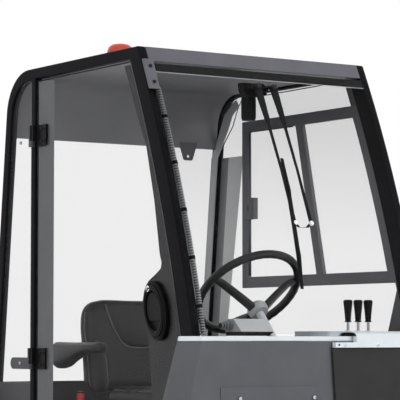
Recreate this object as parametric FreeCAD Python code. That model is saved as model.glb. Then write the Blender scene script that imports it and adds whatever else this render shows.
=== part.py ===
import FreeCAD, Part
import math
import os
from FreeCAD import Vector

# Compact ride-on road sweeper with a glazed cab, on three wheels.
# Lengths are in millimetres. The front faces -Y and +X is the machine's left side.
# "forward" is measured from the top front edge of the cab, towards the front, and "back"
# the other way. Heights build up from the wheels, through the chassis, to the cab.

# Fits and cutters
rest_gap = 0.3
running_gap = 0.05
overrun = 60.0

# Wheels and fork
tyre_radius = 200.0
tyre_width = 105.0
tyre_bead_radius = 118.0
tyre_shoulder = 16.0
tyre_facet_count = 48
rim_lip = 6.0
rim_disc = 14.0
rim_dish = 10.0
hub_length = 96.0
wheel_hub_radius = 42.0
axle_radius = 20.0
front_wheel_forward = 160.0
front_wheel_trail = 30.0
fork_leg_gap = 14.0
fork_leg_thickness = 14.0
fork_leg_width = 70.0
fork_crown_gap = 14.0
fork_crown_height = 18.0
thrust_gap = 8.0
kingpin_radius = 30.0

# Chassis
cab_width = 1000.0
half_cab = cab_width / 2.0
kingpin_block_height = 60.0
kingpin_block_depth = 130.0
rail_height = 100.0
rail_width = 60.0
kingpin_block_bottom = 2 * tyre_radius + fork_crown_gap + fork_crown_height + thrust_gap
rail_top = kingpin_block_bottom + kingpin_block_height
rail_bottom = rail_top - rail_height
rail_outer_x = half_cab
rail_inner_x = rail_outer_x - rail_width
rail_front_forward = 415.0
drop_depth = 50.0
cross_depth = 60.0
cross_back = 320.0
bearer_inset = 50.0
tow_plate_half_width = 40.0
tow_plate_drop = 88.0
tow_plate_thickness = 25.0
tow_plate_front_forward = 565.0
tow_hole_radius = 13.0
carrier_half_length = 60.0
carrier_bottom = 160.0
hanger_depth = 60.0
arm_bottom = 120.0
arm_height = 60.0
arm_top = arm_bottom + arm_height

# Cab frame
cab_height = 1650.0
knee_rise = 620.0
knee_forward = 360.0
waist_rise = 455.0
frame_thickness = 32.0
pillar_bow = 32.0
pillar_depth = 80.0
pillar_top_depth = 75.0
rail_depth = 40.0
hinge_post_back = 772.0
hinge_post_depth = 32.0
rear_foot_back = 1131.7
rear_rake_share = 0.1065
rear_bend_radius = 173.0
rear_pillar_depth = 45.0
sill_depth = 50.0
sill_bottom = rail_top
roof_height = sill_bottom + cab_height
knee_height = sill_bottom + knee_rise
waist_height = sill_bottom + waist_rise
header_height = 53.0
header_rake_share = 0.4845
header_depth = 60.0
seal_gap = 8.0
glass_thickness = 6.0
windscreen_bare_edge = 14.0
windscreen_foot_gap = 8.0
roof_thickness = 28.0
roof_drop = 6.0
rear_window_drop = 248.0
rear_window_top_height = roof_height - rear_window_drop
panel_thickness = 20.0
rib_count = 3
rib_width = 60.0
rib_height = 5.0
rib_inset = 60.0

# Small steel pieces on the cab frame
bracket_width = 44.0
bracket_depth = 40.0
bracket_drop = 50.0
bracket_height = 110.0
bracket_glass_gap = 1.0
conduit_radius = 8.5
conduit_top_drop = 143.0
conduit_top_forward = 22.0
conduit_foot_forward = 313.0
tab_width = 87.0
tab_foot_width = 34.0
tab_height = 75.0
tab_lap = 23.0
tab_thickness = 5.0
tab_hole_radius = 6.0
tab_centre_x = 327.0

# Floor, seat box and engine
floor_thickness = 20.0
floor_top = rail_top + floor_thickness
engine_box_front_back = 330.0
engine_box_rear_back = 960.0
engine_box_half_width = 330.0
engine_box_height = 250.0
engine_box_top = floor_top + engine_box_height
box_wall = 8.0
engine_length = 430.0
engine_width = 420.0
engine_head_gap = 17.0
engine_top = engine_box_top - box_wall - engine_head_gap
engine_centre_back = 640.0
pedal_width = 90.0
pedal_length = 150.0
pedal_thickness = 12.0
pedal_forward = 130.0
pedal_angle = 35.0
pedal_spacing = 330.0

# Operator's place
operator_offset = -35.0
seat_width = 460.0
seat_corner = 55.0
cushion_depth = 430.0
cushion_height = 110.0
cushion_front_back = 270.0
seat_base_height = 60.0
cushion_bottom = engine_box_top + seat_base_height
seat_base_inset = 60.0
bellows_count = 3
bellows_groove = 14.0
back_foot_rise = 77.0
back_height = 370.0
back_thickness = 95.0
back_rake = 9.0
back_low = cushion_bottom + back_foot_rise
armrest_length = 345.0
armrest_width = 52.0
armrest_depth = 100.0
armrest_gap = 16.0
armrest_rise = 280.0
armrest_top = cushion_bottom + armrest_rise
armrest_front_back = 558.0
armrest_stem = 22.0
armrest_run_shares = (0.02, 0.0, 0.0, 0.03, 0.45, 0.78, 1.0, 1.0, 0.97)
armrest_drop_shares = (0.0, 0.08, 0.24, 0.32, 0.50, 1.0, 0.9, 0.1, 0.0)
brake_lever_x = -365.0
brake_lever_back = 620.0
brake_lever_height = 404.0
brake_lever_radius = 6.0
brake_grip_radius = 13.0
brake_grip_length = 120.0

# Steering
rim_rise = 768.0
rim_centre_forward = 9.0
rim_centre_height = floor_top + rim_rise
rim_radius = 194.5
rim_thickness = 15.5
rim_facet_count = 48
rim_side_count = 8
wheel_tilt = 43.2
dish_depth = 68.0
hub_radius = 36.0
hub_height = 38.0
spoke_width = 34.0
spoke_thickness = 14.0
spoke_bend_share = 0.78
spoke_angles = (200.0, 340.0, 90.0)
column_radius = 26.0
column_gap = 6.0
column_length = 170.0
pedestal_width = 150.0
pedestal_depth = 110.0
pod_width = 128.0
pod_shift = -64.0
pod_back_forward = 10.0
pod_top_forward = 62.0
pod_lip_forward = 108.0
pod_bottom_rise = 2.0
pod_lip_height = 16.0
pod_height = 60.0
stalk_boot_length = 50.0
stalk_boot_radius = 22.0
stalk_boot_groove = 5.0
stalk_boot_count = 5
stalk_boot_forward = 35.0
stalk_boot_rise = 37.0
small_facet_count = 20

# Front cowl
cowl_top_rise = 10.0
cowl_top = knee_height + cowl_top_rise
cowl_shoulder_drop = 230.0
cowl_shoulder = cowl_top - cowl_shoulder_drop
cowl_foot_rise = 10.0
cowl_bottom = rail_top + cowl_foot_rise
cowl_front_forward = 450.0
cowl_depth = 65.0
cowl_corner = 55.0
cowl_back_forward = cowl_front_forward - cowl_depth
cowl_top_half_width = 577.0
cowl_foot_half_width = 645.0
cowl_wall = 14.0
cowl_lean = 22.0
lid_thickness = 16.0
lid_back_forward = 245.0
pillar_notch_gap = 6.0
panel_right = 2.0
panel_left = 513.0
panel_top_drop = 39.0
panel_foot_rise = 110.0
panel_plate = 12.0
panel_frame = 24.0
panel_top = cowl_top - panel_top_drop
panel_bottom = cowl_bottom + panel_foot_rise
slat_count = 7
slat_height = 12.0
hatch_right = -464.0
hatch_left = -72.0
hatch_top_drop = 169.0
hatch_foot_rise = 130.0
hatch_plate = 3.0

# Lever console: arched hood with its flange in front of the glass, lever panel behind it
console_height = 18.0
console_top = cowl_top + console_height
hood_right = 98.0
hood_left = 522.0
hood_wall = 4.0
hood_screen_gap = 11.0
hood_overhang = 26.0
hood_rise_shares = (0.0, 0.45, 0.80, 0.97, 1.0, 0.97, 0.80, 0.45, 0.0)
hood_run_shares = (0.0, 0.02, 0.10, 0.25, 0.48, 0.72, 0.88, 0.97, 1.0)
flange_right = 8.0
flange_height = 18.0
flange_depth = 20.0
console_inner_right = 75.0
console_back_forward = 130.0
console_round = 18.0
lever_count = 3
lever_spacing = 46.0
lever_first_x = 285.0
lever_forward = 180.0
lever_height = 114.0
lever_rod_radius = 5.0
lever_grip_length = 80.0
lever_grip_radius = 17.0
lever_foot_share = 0.66
lever_collar_share = 0.78
lever_collar_height = 4.0

# Bumper and lamps
bumper_half_width = 600.0
bumper_height = 145.0
bumper_gap = 15.0
bumper_top = cowl_bottom - bumper_gap
bumper_bottom = bumper_top - bumper_height
bumper_front_forward = 520.0
bumper_corner = 70.0
lamp_radius = 55.0
lamp_depth = 45.0
lamp_x = 430.0
lamp_rise = 75.0
lamp_height = bumper_bottom + lamp_rise
lamp_bezel = 10.0

# Hopper
hopper_gap = 28.3
hopper_depth = 440.0
hopper_height = 670.0
hopper_half_width = 600.0
hopper_front_back = rear_foot_back + hopper_gap
hopper_rear_back = hopper_front_back + hopper_depth
hopper_wall = 10.0
hopper_rear_drop = 60.0
hopper_rear_slope = 90.0
hopper_rib_width = 46.0
hopper_rib_height = 6.0
hopper_rib_inset = 70.0
hopper_rib_count = 3
pivot_rise = 100.0
pivot_inset = 40.0
pivot_drop = 40.0
hopper_pivot_back = hopper_rear_back - pivot_inset
hopper_pivot_height = arm_bottom + pivot_rise
hopper_bottom = hopper_pivot_height + pivot_drop
hopper_top = hopper_bottom + hopper_height
hopper_pin_radius = 14.0
hopper_lug_thickness = 28.0
hopper_lug_radius = 28.0
lug_side_gap = 6.0
tailgate_thickness = 14.0
tailgate_edge = 72.0
tailgate_half_width = hopper_half_width - tailgate_edge
tailgate_lap = 12.0
tailgate_gap = 6.0
tailgate_head = 80.0
tailgate_foot = 30.0
tailgate_top = hopper_top - tailgate_head
tailgate_bottom = hopper_bottom + tailgate_foot
tailgate_hinge_radius = 9.0
tailgate_hinge_length = 60.0
tailgate_hinge_x = 380.0
tailgate_rib_x = 300.0
tailgate_rib_width = 60.0
tailgate_rib_height = 8.0
tailgate_rib_inset = 45.0
handle_radius = 7.0
handle_half_length = 150.0
handle_rise = 90.0
handle_reach = 15.0
rear_lamp_width = 60.0
rear_lamp_height = 110.0
rear_lamp_depth = 44.0
rear_lamp_inset = 70.0

# Rear end of the chassis and the rear wheels, set from the hopper
rail_rear_gap = 40.0
arm_rear_gap = 8.0
lashing_inset = 110.0
rear_wheel_gap = 220.0
rear_wheel_offset = 82.0
rail_rear_back = hopper_front_back - rail_rear_gap
arm_rear_back = hopper_rear_back - arm_rear_gap
lashing_back = hopper_rear_back - lashing_inset
rear_wheel_back = hopper_front_back - rear_wheel_gap
rear_wheel_x = rail_outer_x + rear_wheel_offset
fender_gap = 26.0
fender_thickness = 6.0
fender_overhang = 13.5
fender_outer_x = rear_wheel_x + tyre_width / 2.0 + fender_overhang
fender_front_angle = 12.0
fender_rear_angle = 148.0
fender_step_count = 8

# Tipping cylinders
cylinder_offset = 28.0
cylinder_foot_inset = 30.0
cylinder_foot_rise = 35.0
cylinder_head_inset = 240.0
cylinder_head_rise = 440.0
cylinder_x = hopper_half_width + cylinder_offset
cylinder_foot_back = hopper_front_back + cylinder_foot_inset
cylinder_foot_height = arm_bottom + cylinder_foot_rise
cylinder_head_back = hopper_front_back + cylinder_head_inset
cylinder_head_height = hopper_bottom + cylinder_head_rise
barrel_radius = 14.0
barrel_start = 12.0
barrel_end_gap = 118.0
rod_radius = 8.0
rod_inner_start = 200.0
rod_bore_start = 170.0
eye_radius = 18.0
eye_half_width = 15.0
eye_pin_radius = 9.0
foot_tube_radius = 18.0
boss_gap = 0.4

# Main brush and its tunnel
brush_radius = 150.0
brush_ground_gap = 12.0
brush_centre_height = brush_radius + brush_ground_gap
brush_wheel_gap = 360.0
brush_centre_back = rear_wheel_back - brush_wheel_gap
brush_core_radius = 70.0
brush_row_count = 9
brush_row_width = 16.0
brush_step_count = 4
brush_step_turn = 9.0
brush_shaft_radius = 15.0
tunnel_rail_gap = 8.0
tunnel_half_width = rail_inner_x - tunnel_rail_gap
tunnel_wall = 8.0
tunnel_bottom = 30.0
tunnel_drop = 20.0
tunnel_top = rail_bottom - tunnel_drop
tunnel_reach = 210.0
tunnel_hopper_gap = 17.0
tunnel_front_back = brush_centre_back - tunnel_reach
tunnel_mid_back = brush_centre_back + tunnel_reach
tunnel_rear_back = hopper_front_back - tunnel_hopper_gap
chute_bottom = 110.0
brush_end_gap = 27.0
brush_half_length = tunnel_half_width - brush_end_gap
mouth_edge = 12.0
mouth_half_width = tunnel_half_width - mouth_edge
mouth_height = 140.0
mouth_top = hopper_bottom + mouth_height

# Side brushes
side_brush_x = 480.0
side_brush_forward = 400.0
side_brush_radius = 270.0
side_disc_radius = 110.0
side_disc_height = 20.0
side_disc_bottom = 148.0
side_disc_facet_count = 40
side_tip_height = 62.0
side_tuft_count = 20
side_tuft_width = 24.0
side_tuft_thickness = 12.0
side_tuft_root = 3.0
side_motor_radius = 48.0
side_motor_height = 80.0
side_motor_gap = 37.0
side_motor_bottom = side_disc_bottom + side_disc_height + side_motor_gap
side_motor_top = side_motor_bottom + side_motor_height
side_shaft_radius = 24.0
side_arm_forward = 100.0
side_arm_rise = 40.0
side_arm_height = rail_bottom + side_arm_rise
side_arm_thickness = 24.0
side_arm_width = 44.0
side_arm_gap = 6.0
side_arm_plate = 12.0
side_pin_radius = 12.0

# Side covers with step
cover_rail_gap = 12.0
cover_width = 88.0
cover_drop = 6.0
cover_gap = 8.0
cover_bottom = 170.0
cover_edge = 14.0
cover_hanger_drop = 30.0
cover_inner_x = rail_outer_x + cover_rail_gap
cover_outer_x = cover_inner_x + cover_width
cover_front_forward = 55.0
cover_rear_back = rear_wheel_back - tyre_radius - fender_gap - fender_thickness - cover_gap
cover_top = sill_bottom - cover_drop
step_depth = 60.0
step_rise = 130.0
step_bottom = cover_bottom + step_rise
step_half_length = 190.0
step_centre_back = 200.0

# Door on the right, glazed side with a sliding window on the left
door_foot_gap = 12.0
door_bottom = sill_bottom + sill_depth + door_foot_gap
door_gap = 8.0
hinge_height = 80.0
hinge_upper_drop = 260.0
hinge_lower_rise = 92.0
hinge_upper = roof_height - hinge_upper_drop
hinge_lower = waist_height + hinge_lower_rise
hinge_radius = 9.0
hinge_pin_radius = 4.5
hinge_post_leaf = 40.0
hinge_door_leaf = 84.0
hinge_leaf_thickness = 6.0
hinge_stand_off = 14.0
tongue_length = 175.0
tongue_height = 44.0
lock_forward = 121.0
lock_rise = 98.0
lock_height = knee_height + lock_rise
lock_long_radius = 107.0
lock_short_radius = 68.0
lock_lean = 19.3
lock_depth = 10.0
lock_ring_depth = 17.0
lock_ring_share = 0.86
lock_dish_share = 0.68
lock_dish_depth = 12.0
lock_paddle_depth = 8.0
lock_paddle_share = 0.60
lock_facet_count = 48
slider_bar = 44.0
slider_top_drop = 151.0
slider_height = 673.0
slider_top = roof_height - slider_top_drop
slider_bottom = slider_top - slider_height
slider_back = 768.0
slider_depth = 16.0
slider_post_width = 45.0
slider_post_back = 360.0
slider_post_lean_share = 0.2313
slider_latch_width = 45.0
slider_latch_height = 86.0
slider_latch_rise = 276.0
slider_latch_depth = 5.0

# Roof and windscreen fittings
beacon_radius = 55.0
beacon_height = 79.0
beacon_radius_shares = (0.0, 1.0, 1.0, 0.94, 0.92, 0.82, 0.62, 0.34, 0.0)
beacon_height_shares = (0.0, 0.0, 0.20, 0.22, 0.62, 0.83, 0.95, 1.0, 1.0)
beacon_facet_count = 36
beacon_x = -300.0
beacon_back = 447.0
wiper_spindle_x = -45.0
wiper_spindle_spacing = 70.0
wiper_spindle_drop = 122.0
wiper_spindle_height = roof_height - wiper_spindle_drop
wiper_spindle_radius = 9.0
wiper_arm_width = 14.0
wiper_arm_thickness = 5.0
wiper_arm_length = 499.0
wiper_blade_length = 467.0
wiper_blade_width = 11.0
wiper_blade_x = -20.0
wiper_blade_lean = 0.048
wiper_stand_off = 26.0
wiper_lean = 0.055
wiper_plate_height = 70.0
wiper_plate_edge = 44.0
wiper_plate_thickness = 6.0
wiper_motor_radius = 34.0
wiper_motor_length = 150.0
wiper_motor_depth = 26.0

# How far the machine reaches in front of and behind the top front edge of the cab.
front_reach = side_brush_forward + side_brush_radius
rear_reach = hopper_rear_back + rear_lamp_depth
header_y = (front_reach - rear_reach) / 2.0


def place(forward, height, x=0.0):
    """A point given by its distance forward of the cab's edge, its height and its x."""
    return Vector(x, header_y - forward, height)


def save(name, shape):
    shape.exportStep("parts/" + name + ".step")


def block(x_low, x_high, back, front, low, high):
    """A box between two x values, two forward distances and two heights."""
    corner = place(front, low, x_low)
    return Part.makeBox(x_high - x_low, front - back, high - low, corner)


def flat(points):
    return Part.Face(Part.makePolygon(points + points[:1]))


def slab(outline, x_low, x_high):
    """An outline of (forward, height) points, drawn out along x."""
    face = flat([place(forward, height, x_low) for forward, height in outline])
    return face.extrude(Vector(x_high - x_low, 0, 0))


def plan(outline, low, high):
    """An outline of (x, forward) points, drawn up from one height to another."""
    face = flat([place(forward, low, x) for x, forward in outline])
    return face.extrude(Vector(0, 0, high - low))


def rod(start, end, radius):
    along = end - start
    return Part.makeCylinder(radius, along.Length, start, along)


def strap(start, end, across, start_width, end_width, thickness):
    """A flat, tapering bar from start to end, with its width along across."""
    normal = (end - start).cross(across).normalize()
    sink = normal * (thickness / 2)
    low, high = across * (start_width / 2), across * (end_width / 2)
    face = flat([start - low - sink, end - high - sink, end + high - sink, start + low - sink])
    return face.extrude(normal * thickness)


def turned(outline, centre, axis, across, count):
    """A closed outline of (radius, offset) points turned about an axis, in flat facets."""
    up = axis.cross(across)
    rings = []
    for index in range(count):
        turn = 2 * math.pi * index / count
        outward = across * math.cos(turn) + up * math.sin(turn)
        rings.append([centre + outward * radius + axis * offset for radius, offset in outline])
    faces = []
    for index, near in enumerate(rings):
        far = rings[(index + 1) % count]
        for spot, (radius, offset) in enumerate(outline):
            corners = [near[spot - 1], near[spot], far[spot], far[spot - 1]]
            if radius == 0.0:
                corners.remove(far[spot])
            if outline[spot - 1][0] == 0.0:
                corners.pop()
            if len(corners) > 2:
                faces.append(flat(corners))
    shell = Part.Shell(faces)
    shell.sewShape()
    return Part.Solid(shell)


def mirrored(shape):
    return shape.mirror(Vector(0, 0, 0), Vector(1, 0, 0))


def pair(shape):
    return Part.makeCompound([shape, mirrored(shape)])


def joined(shapes):
    whole = shapes[0].fuse(shapes[1:]) if len(shapes) > 1 else shapes[0]
    return whole.removeSplitter()


def rounded(solid, radius, keep):
    """Round the straight or curved edges of a solid that keep() picks out."""
    edges = [edge for edge in solid.Edges if keep(edge)]
    return solid.makeFillet(radius, edges)


def upright(edge):
    tangent = edge.tangentAt(edge.FirstParameter)
    return abs(tangent.z) > abs(tangent.x) + abs(tangent.y)


def fore_and_aft(edge):
    tangent = edge.tangentAt(edge.FirstParameter)
    return abs(tangent.y) > abs(tangent.x) + abs(tangent.z)


# The side frame: a raked and slightly bowed front pillar, roof rail, big bend and rear pillar.
def pillar_edge(offset_low, offset_top, x):
    """Front pillar line from knee to roof, moved back by the two offsets."""
    low = place(knee_forward - offset_low, knee_height, x)
    top = place(-offset_top, roof_height, x)
    middle = (low + top) * 0.5
    middle.y -= pillar_bow
    return Part.Arc(low, middle, top).toShape()


def pillar_line(height):
    """Forward value of the front pillar's front edge at a height."""
    share = (roof_height - height) / (roof_height - knee_height)
    return knee_forward * share + pillar_bow * (1 - (2 * share - 1) ** 2)


def rear_line(height, inset=0.0):
    """Forward value of the rear pillar's outer edge at a height, moved in by an inset."""
    return -(rear_foot_back - (height - sill_bottom) * rear_rake_share) + inset


def corner_arc(before, corner, after, radius):
    """Three points of the arc that rounds a corner between two straight runs."""
    first = (before - corner).normalize()
    second = (after - corner).normalize()
    half = first.getAngle(second) / 2.0
    start = corner + first * (radius / math.tan(half))
    end = corner + second * (radius / math.tan(half))
    centre = corner + (first + second).normalize() * (radius / math.sin(half))
    middle = centre + (corner - centre).normalize() * radius
    return start, middle, end


def side_region(inset, bottom, x, front_low=None, front_top=None):
    """The side view of the cab as a face at x, with its edges moved in by an inset."""
    low_back = inset if front_low is None else front_low
    top_back = inset if front_top is None else front_top
    top = roof_height - inset
    roof_front = place(-top_back, roof_height, x)
    knee = place(knee_forward - low_back, knee_height, x)
    foot = place(knee_forward - low_back, bottom, x)
    corner = place(rear_line(top, inset), top, x)
    rear_foot = place(rear_line(bottom, inset), bottom, x)
    bend = corner_arc(place(-top_back, top, x), corner, rear_foot, rear_bend_radius - inset)
    lid = place(-top_back, top, x)
    edges = [Part.makeLine(foot, knee), pillar_edge(low_back, top_back, x)]
    if inset > 0:
        edges.append(Part.makeLine(roof_front, lid))
    edges.append(Part.makeLine(lid, bend[0]))
    edges.append(Part.Arc(bend[0], bend[1], bend[2]).toShape())
    edges.append(Part.makeLine(bend[2], rear_foot))
    edges.append(Part.makeLine(rear_foot, foot))
    return Part.Face(Part.Wire(edges))


def opening(back, front, low, high, inset, x_low, x_high, front_low=None, front_top=None):
    """A cutter: the cab's side view between two forward values and two heights."""
    face = side_region(inset, low, x_low, front_low, front_top)
    region = face.extrude(Vector(x_high - x_low, 0, 0))
    return region.common(block(x_low, x_high, back, front, low, high))


def door_front_back():
    return -(hinge_post_back - hinge_post_depth)


def door_region(gap, low, x_low, x_high):
    high = roof_height - rail_depth - gap
    return opening(door_front_back() + gap, knee_forward, low, high, rail_depth,
                   x_low, x_high, pillar_depth + gap, pillar_top_depth + gap)


def quarter_region(gap, low, x_low, x_high):
    high = roof_height - rail_depth - gap
    return opening(-rear_foot_back - overrun, -hinge_post_back - gap, low, high,
                   rear_pillar_depth + gap, x_low, x_high, pillar_depth, pillar_top_depth)


def side_opening(gap, low, x_low, x_high):
    """The whole opening of the side without a door, from front pillar to rear pillar."""
    high = roof_height - rear_pillar_depth - gap
    return opening(-rear_foot_back - overrun, knee_forward, low, high, rear_pillar_depth + gap,
                   x_low, x_high, pillar_depth + gap, pillar_top_depth + gap)


def side_frame(has_door):
    """One side of the cab frame. Only the door side has a hinge post."""
    inner = half_cab - frame_thickness
    ring = side_region(0.0, sill_bottom, inner).extrude(Vector(frame_thickness, 0, 0))
    low = sill_bottom + sill_depth
    near, far = inner - overrun, half_cab + overrun
    if not has_door:
        return ring.cut(side_opening(0.0, low, near, far)).removeSplitter()
    ring = ring.cut(door_region(0.0, low, near, far))
    return ring.cut(quarter_region(0.0, low, near, far)).removeSplitter()


def front_header():
    """The raked front beam between the side frames."""
    half = half_cab - frame_thickness - rest_gap
    run = header_height * header_rake_share
    outline = [(0.0, roof_height), (run, roof_height - header_height),
               (run - header_depth, roof_height - header_height), (-header_depth, roof_height)]
    return slab(outline, -half, half)


def roof_profile(inset, thickness, half):
    outer = side_region(inset, sill_bottom, -half, pillar_depth, header_depth + rest_gap)
    inner = side_region(inset + thickness, sill_bottom, -half, pillar_depth, header_depth)
    shell = outer.extrude(Vector(2 * half, 0, 0)).cut(inner.extrude(Vector(2 * half, 0, 0)))
    keep = block(-half, half, -rear_foot_back - overrun, -header_depth - rest_gap,
                 rear_window_top_height, roof_height + overrun)
    return shell.common(keep)


def roof_panel():
    half = half_cab - frame_thickness - rest_gap
    panel = roof_profile(roof_drop, roof_thickness, half)
    ribs = []
    span = 2 * (half - rib_inset)
    top = roof_height - roof_drop
    for index in range(rib_count):
        centre = -half + rib_inset + span * index / (rib_count - 1)
        rear = rear_line(roof_height) + rear_bend_radius
        ribs.append(block(centre - rib_width / 2, centre + rib_width / 2, rear,
                          -header_depth - rib_width, top - rib_height, top + rib_height))
    return joined([panel] + ribs)


def windscreen():
    """Bowed glass laid on the front of the pillars."""
    half = half_cab - windscreen_bare_edge
    top = roof_height - header_height - seal_gap
    outer = side_region(0.0, sill_bottom, -half, -rest_gap - glass_thickness,
                        -rest_gap - glass_thickness)
    inner = side_region(0.0, sill_bottom, -half, -rest_gap, -rest_gap)
    sheet = outer.extrude(Vector(2 * half, 0, 0)).cut(inner.extrude(Vector(2 * half, 0, 0)))
    keep = block(-half, half, 0.0, knee_forward + overrun, cowl_top + windscreen_foot_gap, top)
    sheet = sheet.common(keep)
    for x in wiper_spindles():
        start = place(0.0, wiper_spindle_height, x)
        sheet = sheet.cut(rod(start, start - Vector(0, knee_forward, 0),
                              wiper_spindle_radius + rest_gap))
    return sheet


def rear_sheet(low, high, thickness, half, inset):
    outline = [(rear_line(low, inset), low), (rear_line(high, inset), high),
               (rear_line(high, inset + thickness), high), (rear_line(low, inset + thickness), low)]
    return slab(outline, -half, half)


def rear_window():
    half = half_cab - frame_thickness - rest_gap
    return rear_sheet(waist_height + rest_gap, rear_window_top_height - rest_gap,
                      glass_thickness, half, panel_thickness / 2)


def lower_panels():
    """Rear wall under the window, and the fixed panels under the side glasses."""
    half = half_cab - frame_thickness - rest_gap
    low = sill_bottom + sill_depth
    wall = rear_sheet(low, waist_height, panel_thickness, half, 0.0)
    inner = half_cab - frame_thickness
    outer = half_cab - glass_thickness
    keep = block(0.0, half_cab, -rear_foot_back, knee_forward, low, waist_height)
    left = side_opening(rest_gap, low + rest_gap, inner, outer).common(keep)
    right = quarter_region(rest_gap, low + rest_gap, inner, outer).common(keep)
    return Part.makeCompound([wall, left, mirrored(right)])


def quarter_glass():
    outer = half_cab - glass_thickness
    return quarter_region(rest_gap, waist_height + rest_gap, outer - glass_thickness, outer)


def side_glass():
    """One fixed pane over the whole left side, above the panel."""
    outer = half_cab - glass_thickness
    return side_opening(rest_gap, waist_height + rest_gap, outer - glass_thickness, outer)


def pillar_bracket():
    """Bracket block on the right front pillar, in front of the glass."""
    high = roof_height - bracket_drop
    low = high - bracket_height
    start = glass_thickness + rest_gap + bracket_glass_gap
    outline = [(pillar_line(low) + start, low), (pillar_line(low) + start + bracket_depth, low),
               (pillar_line(high) + start + bracket_depth, high), (pillar_line(high) + start, high)]
    return slab(outline, -half_cab, -half_cab + bracket_width)


def conduit():
    """Cable conduit on the inside of the right front pillar."""
    x = -half_cab + frame_thickness + rest_gap + conduit_radius
    top = place(conduit_top_forward, roof_height - conduit_top_drop, x)
    foot = place(conduit_foot_forward, cowl_top + conduit_radius, x)
    return rod(foot, top, conduit_radius)


def rear_tab():
    """Bored tab that hangs inside, from the rear edge of the roof."""
    top = rear_window_top_height + tab_lap
    low = top - tab_height
    waist = rear_window_top_height - tab_lap
    forward = rear_line(top, roof_drop + roof_thickness) + rest_gap
    half, foot = tab_width / 2, tab_foot_width / 2
    outline = [(-half, top), (half, top), (half, waist), (foot, low), (-foot, low), (-half, waist)]
    plate = flat([place(forward, height, tab_centre_x + x) for x, height in outline])
    plate = plate.extrude(Vector(0, -tab_thickness, 0))
    bore_height = low + tab_foot_width / 2
    return plate.cut(rod(place(forward - overrun, bore_height, tab_centre_x),
                         place(forward + overrun, bore_height, tab_centre_x), tab_hole_radius))


def cab_fittings():
    return Part.makeCompound([pillar_bracket(), conduit(), rear_tab()])


def cab_floor():
    half = half_cab - frame_thickness - rest_gap
    rear = rear_line(sill_bottom) + panel_thickness
    plate = block(-half, half, rear, knee_forward, floor_top - floor_thickness, floor_top)
    box_half = engine_box_half_width
    box = block(-box_half, box_half, -engine_box_rear_back, -engine_box_front_back,
                floor_top - floor_thickness, engine_box_top)
    hollow = block(-box_half + box_wall, box_half - box_wall, -engine_box_rear_back + box_wall,
                   -engine_box_front_back - box_wall, floor_top - floor_thickness - overrun,
                   engine_box_top - box_wall)
    pieces = [plate, box]
    for side in (-1, 1):
        centre = operator_offset + side * pedal_spacing / 2
        pedal = block(centre - pedal_width / 2, centre + pedal_width / 2, pedal_forward,
                      pedal_forward + pedal_length, floor_top, floor_top + pedal_thickness)
        pedal.rotate(place(pedal_forward, floor_top, centre), Vector(1, 0, 0), -pedal_angle)
        pieces.append(pedal)
    return joined(pieces).cut(hollow)


def engine():
    back = engine_centre_back + engine_length / 2
    front = engine_centre_back - engine_length / 2
    return block(-engine_width / 2, engine_width / 2, -back, -front, rail_top + rest_gap,
                 engine_top)


def tow_plate():
    """Bored plate that hangs from the front cross member."""
    half = tow_plate_half_width
    low = rail_bottom - tow_plate_drop
    back = rail_front_forward - cross_depth
    plate = block(-half, half, back, tow_plate_front_forward, low, low + tow_plate_thickness)
    stem = block(-half, half, back, rail_front_forward, low, rail_bottom)
    hole_forward = tow_plate_front_forward - 2 * tow_hole_radius
    hole = rod(place(hole_forward, low - overrun), place(hole_forward, low + overrun),
               tow_hole_radius)
    return joined([plate, stem]).cut(hole)


def chassis_frame():
    """Ladder frame: two rails, cross members, engine bearers, kingpin block and tow plate."""
    inner = rail_inner_x
    rail = block(inner, rail_outer_x, -rail_rear_back, rail_front_forward, rail_bottom, rail_top)
    arm_pin = rod(place(side_arm_forward, side_arm_height, rail_outer_x - rail_width / 2),
                  place(side_arm_forward, side_arm_height,
                        rail_outer_x + side_arm_gap + side_arm_thickness), side_pin_radius)
    half = rail.fuse(arm_pin)
    spans = [(rail_front_forward - cross_depth, rail_front_forward),
             (-cross_back - cross_depth, -cross_back),
             (-rail_rear_back, -rail_rear_back + drop_depth)]
    for end in (-1, 1):
        middle = -engine_centre_back + end * (engine_length / 2 - bearer_inset)
        spans.append((middle - bearer_inset / 2, middle + bearer_inset / 2))
    crosses = [block(-inner, inner, back, front, rail_bottom, rail_top) for back, front in spans]
    king = block(-inner, inner, front_wheel_forward - kingpin_block_depth / 2,
                 front_wheel_forward + kingpin_block_depth / 2, kingpin_block_bottom, rail_top)
    frame = joined([half, mirrored(half), king, tow_plate()] + crosses)
    bore = rod(place(front_wheel_forward, kingpin_block_bottom - overrun),
               place(front_wheel_forward, rail_top + overrun), kingpin_radius + running_gap)
    return frame.cut(bore)


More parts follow.
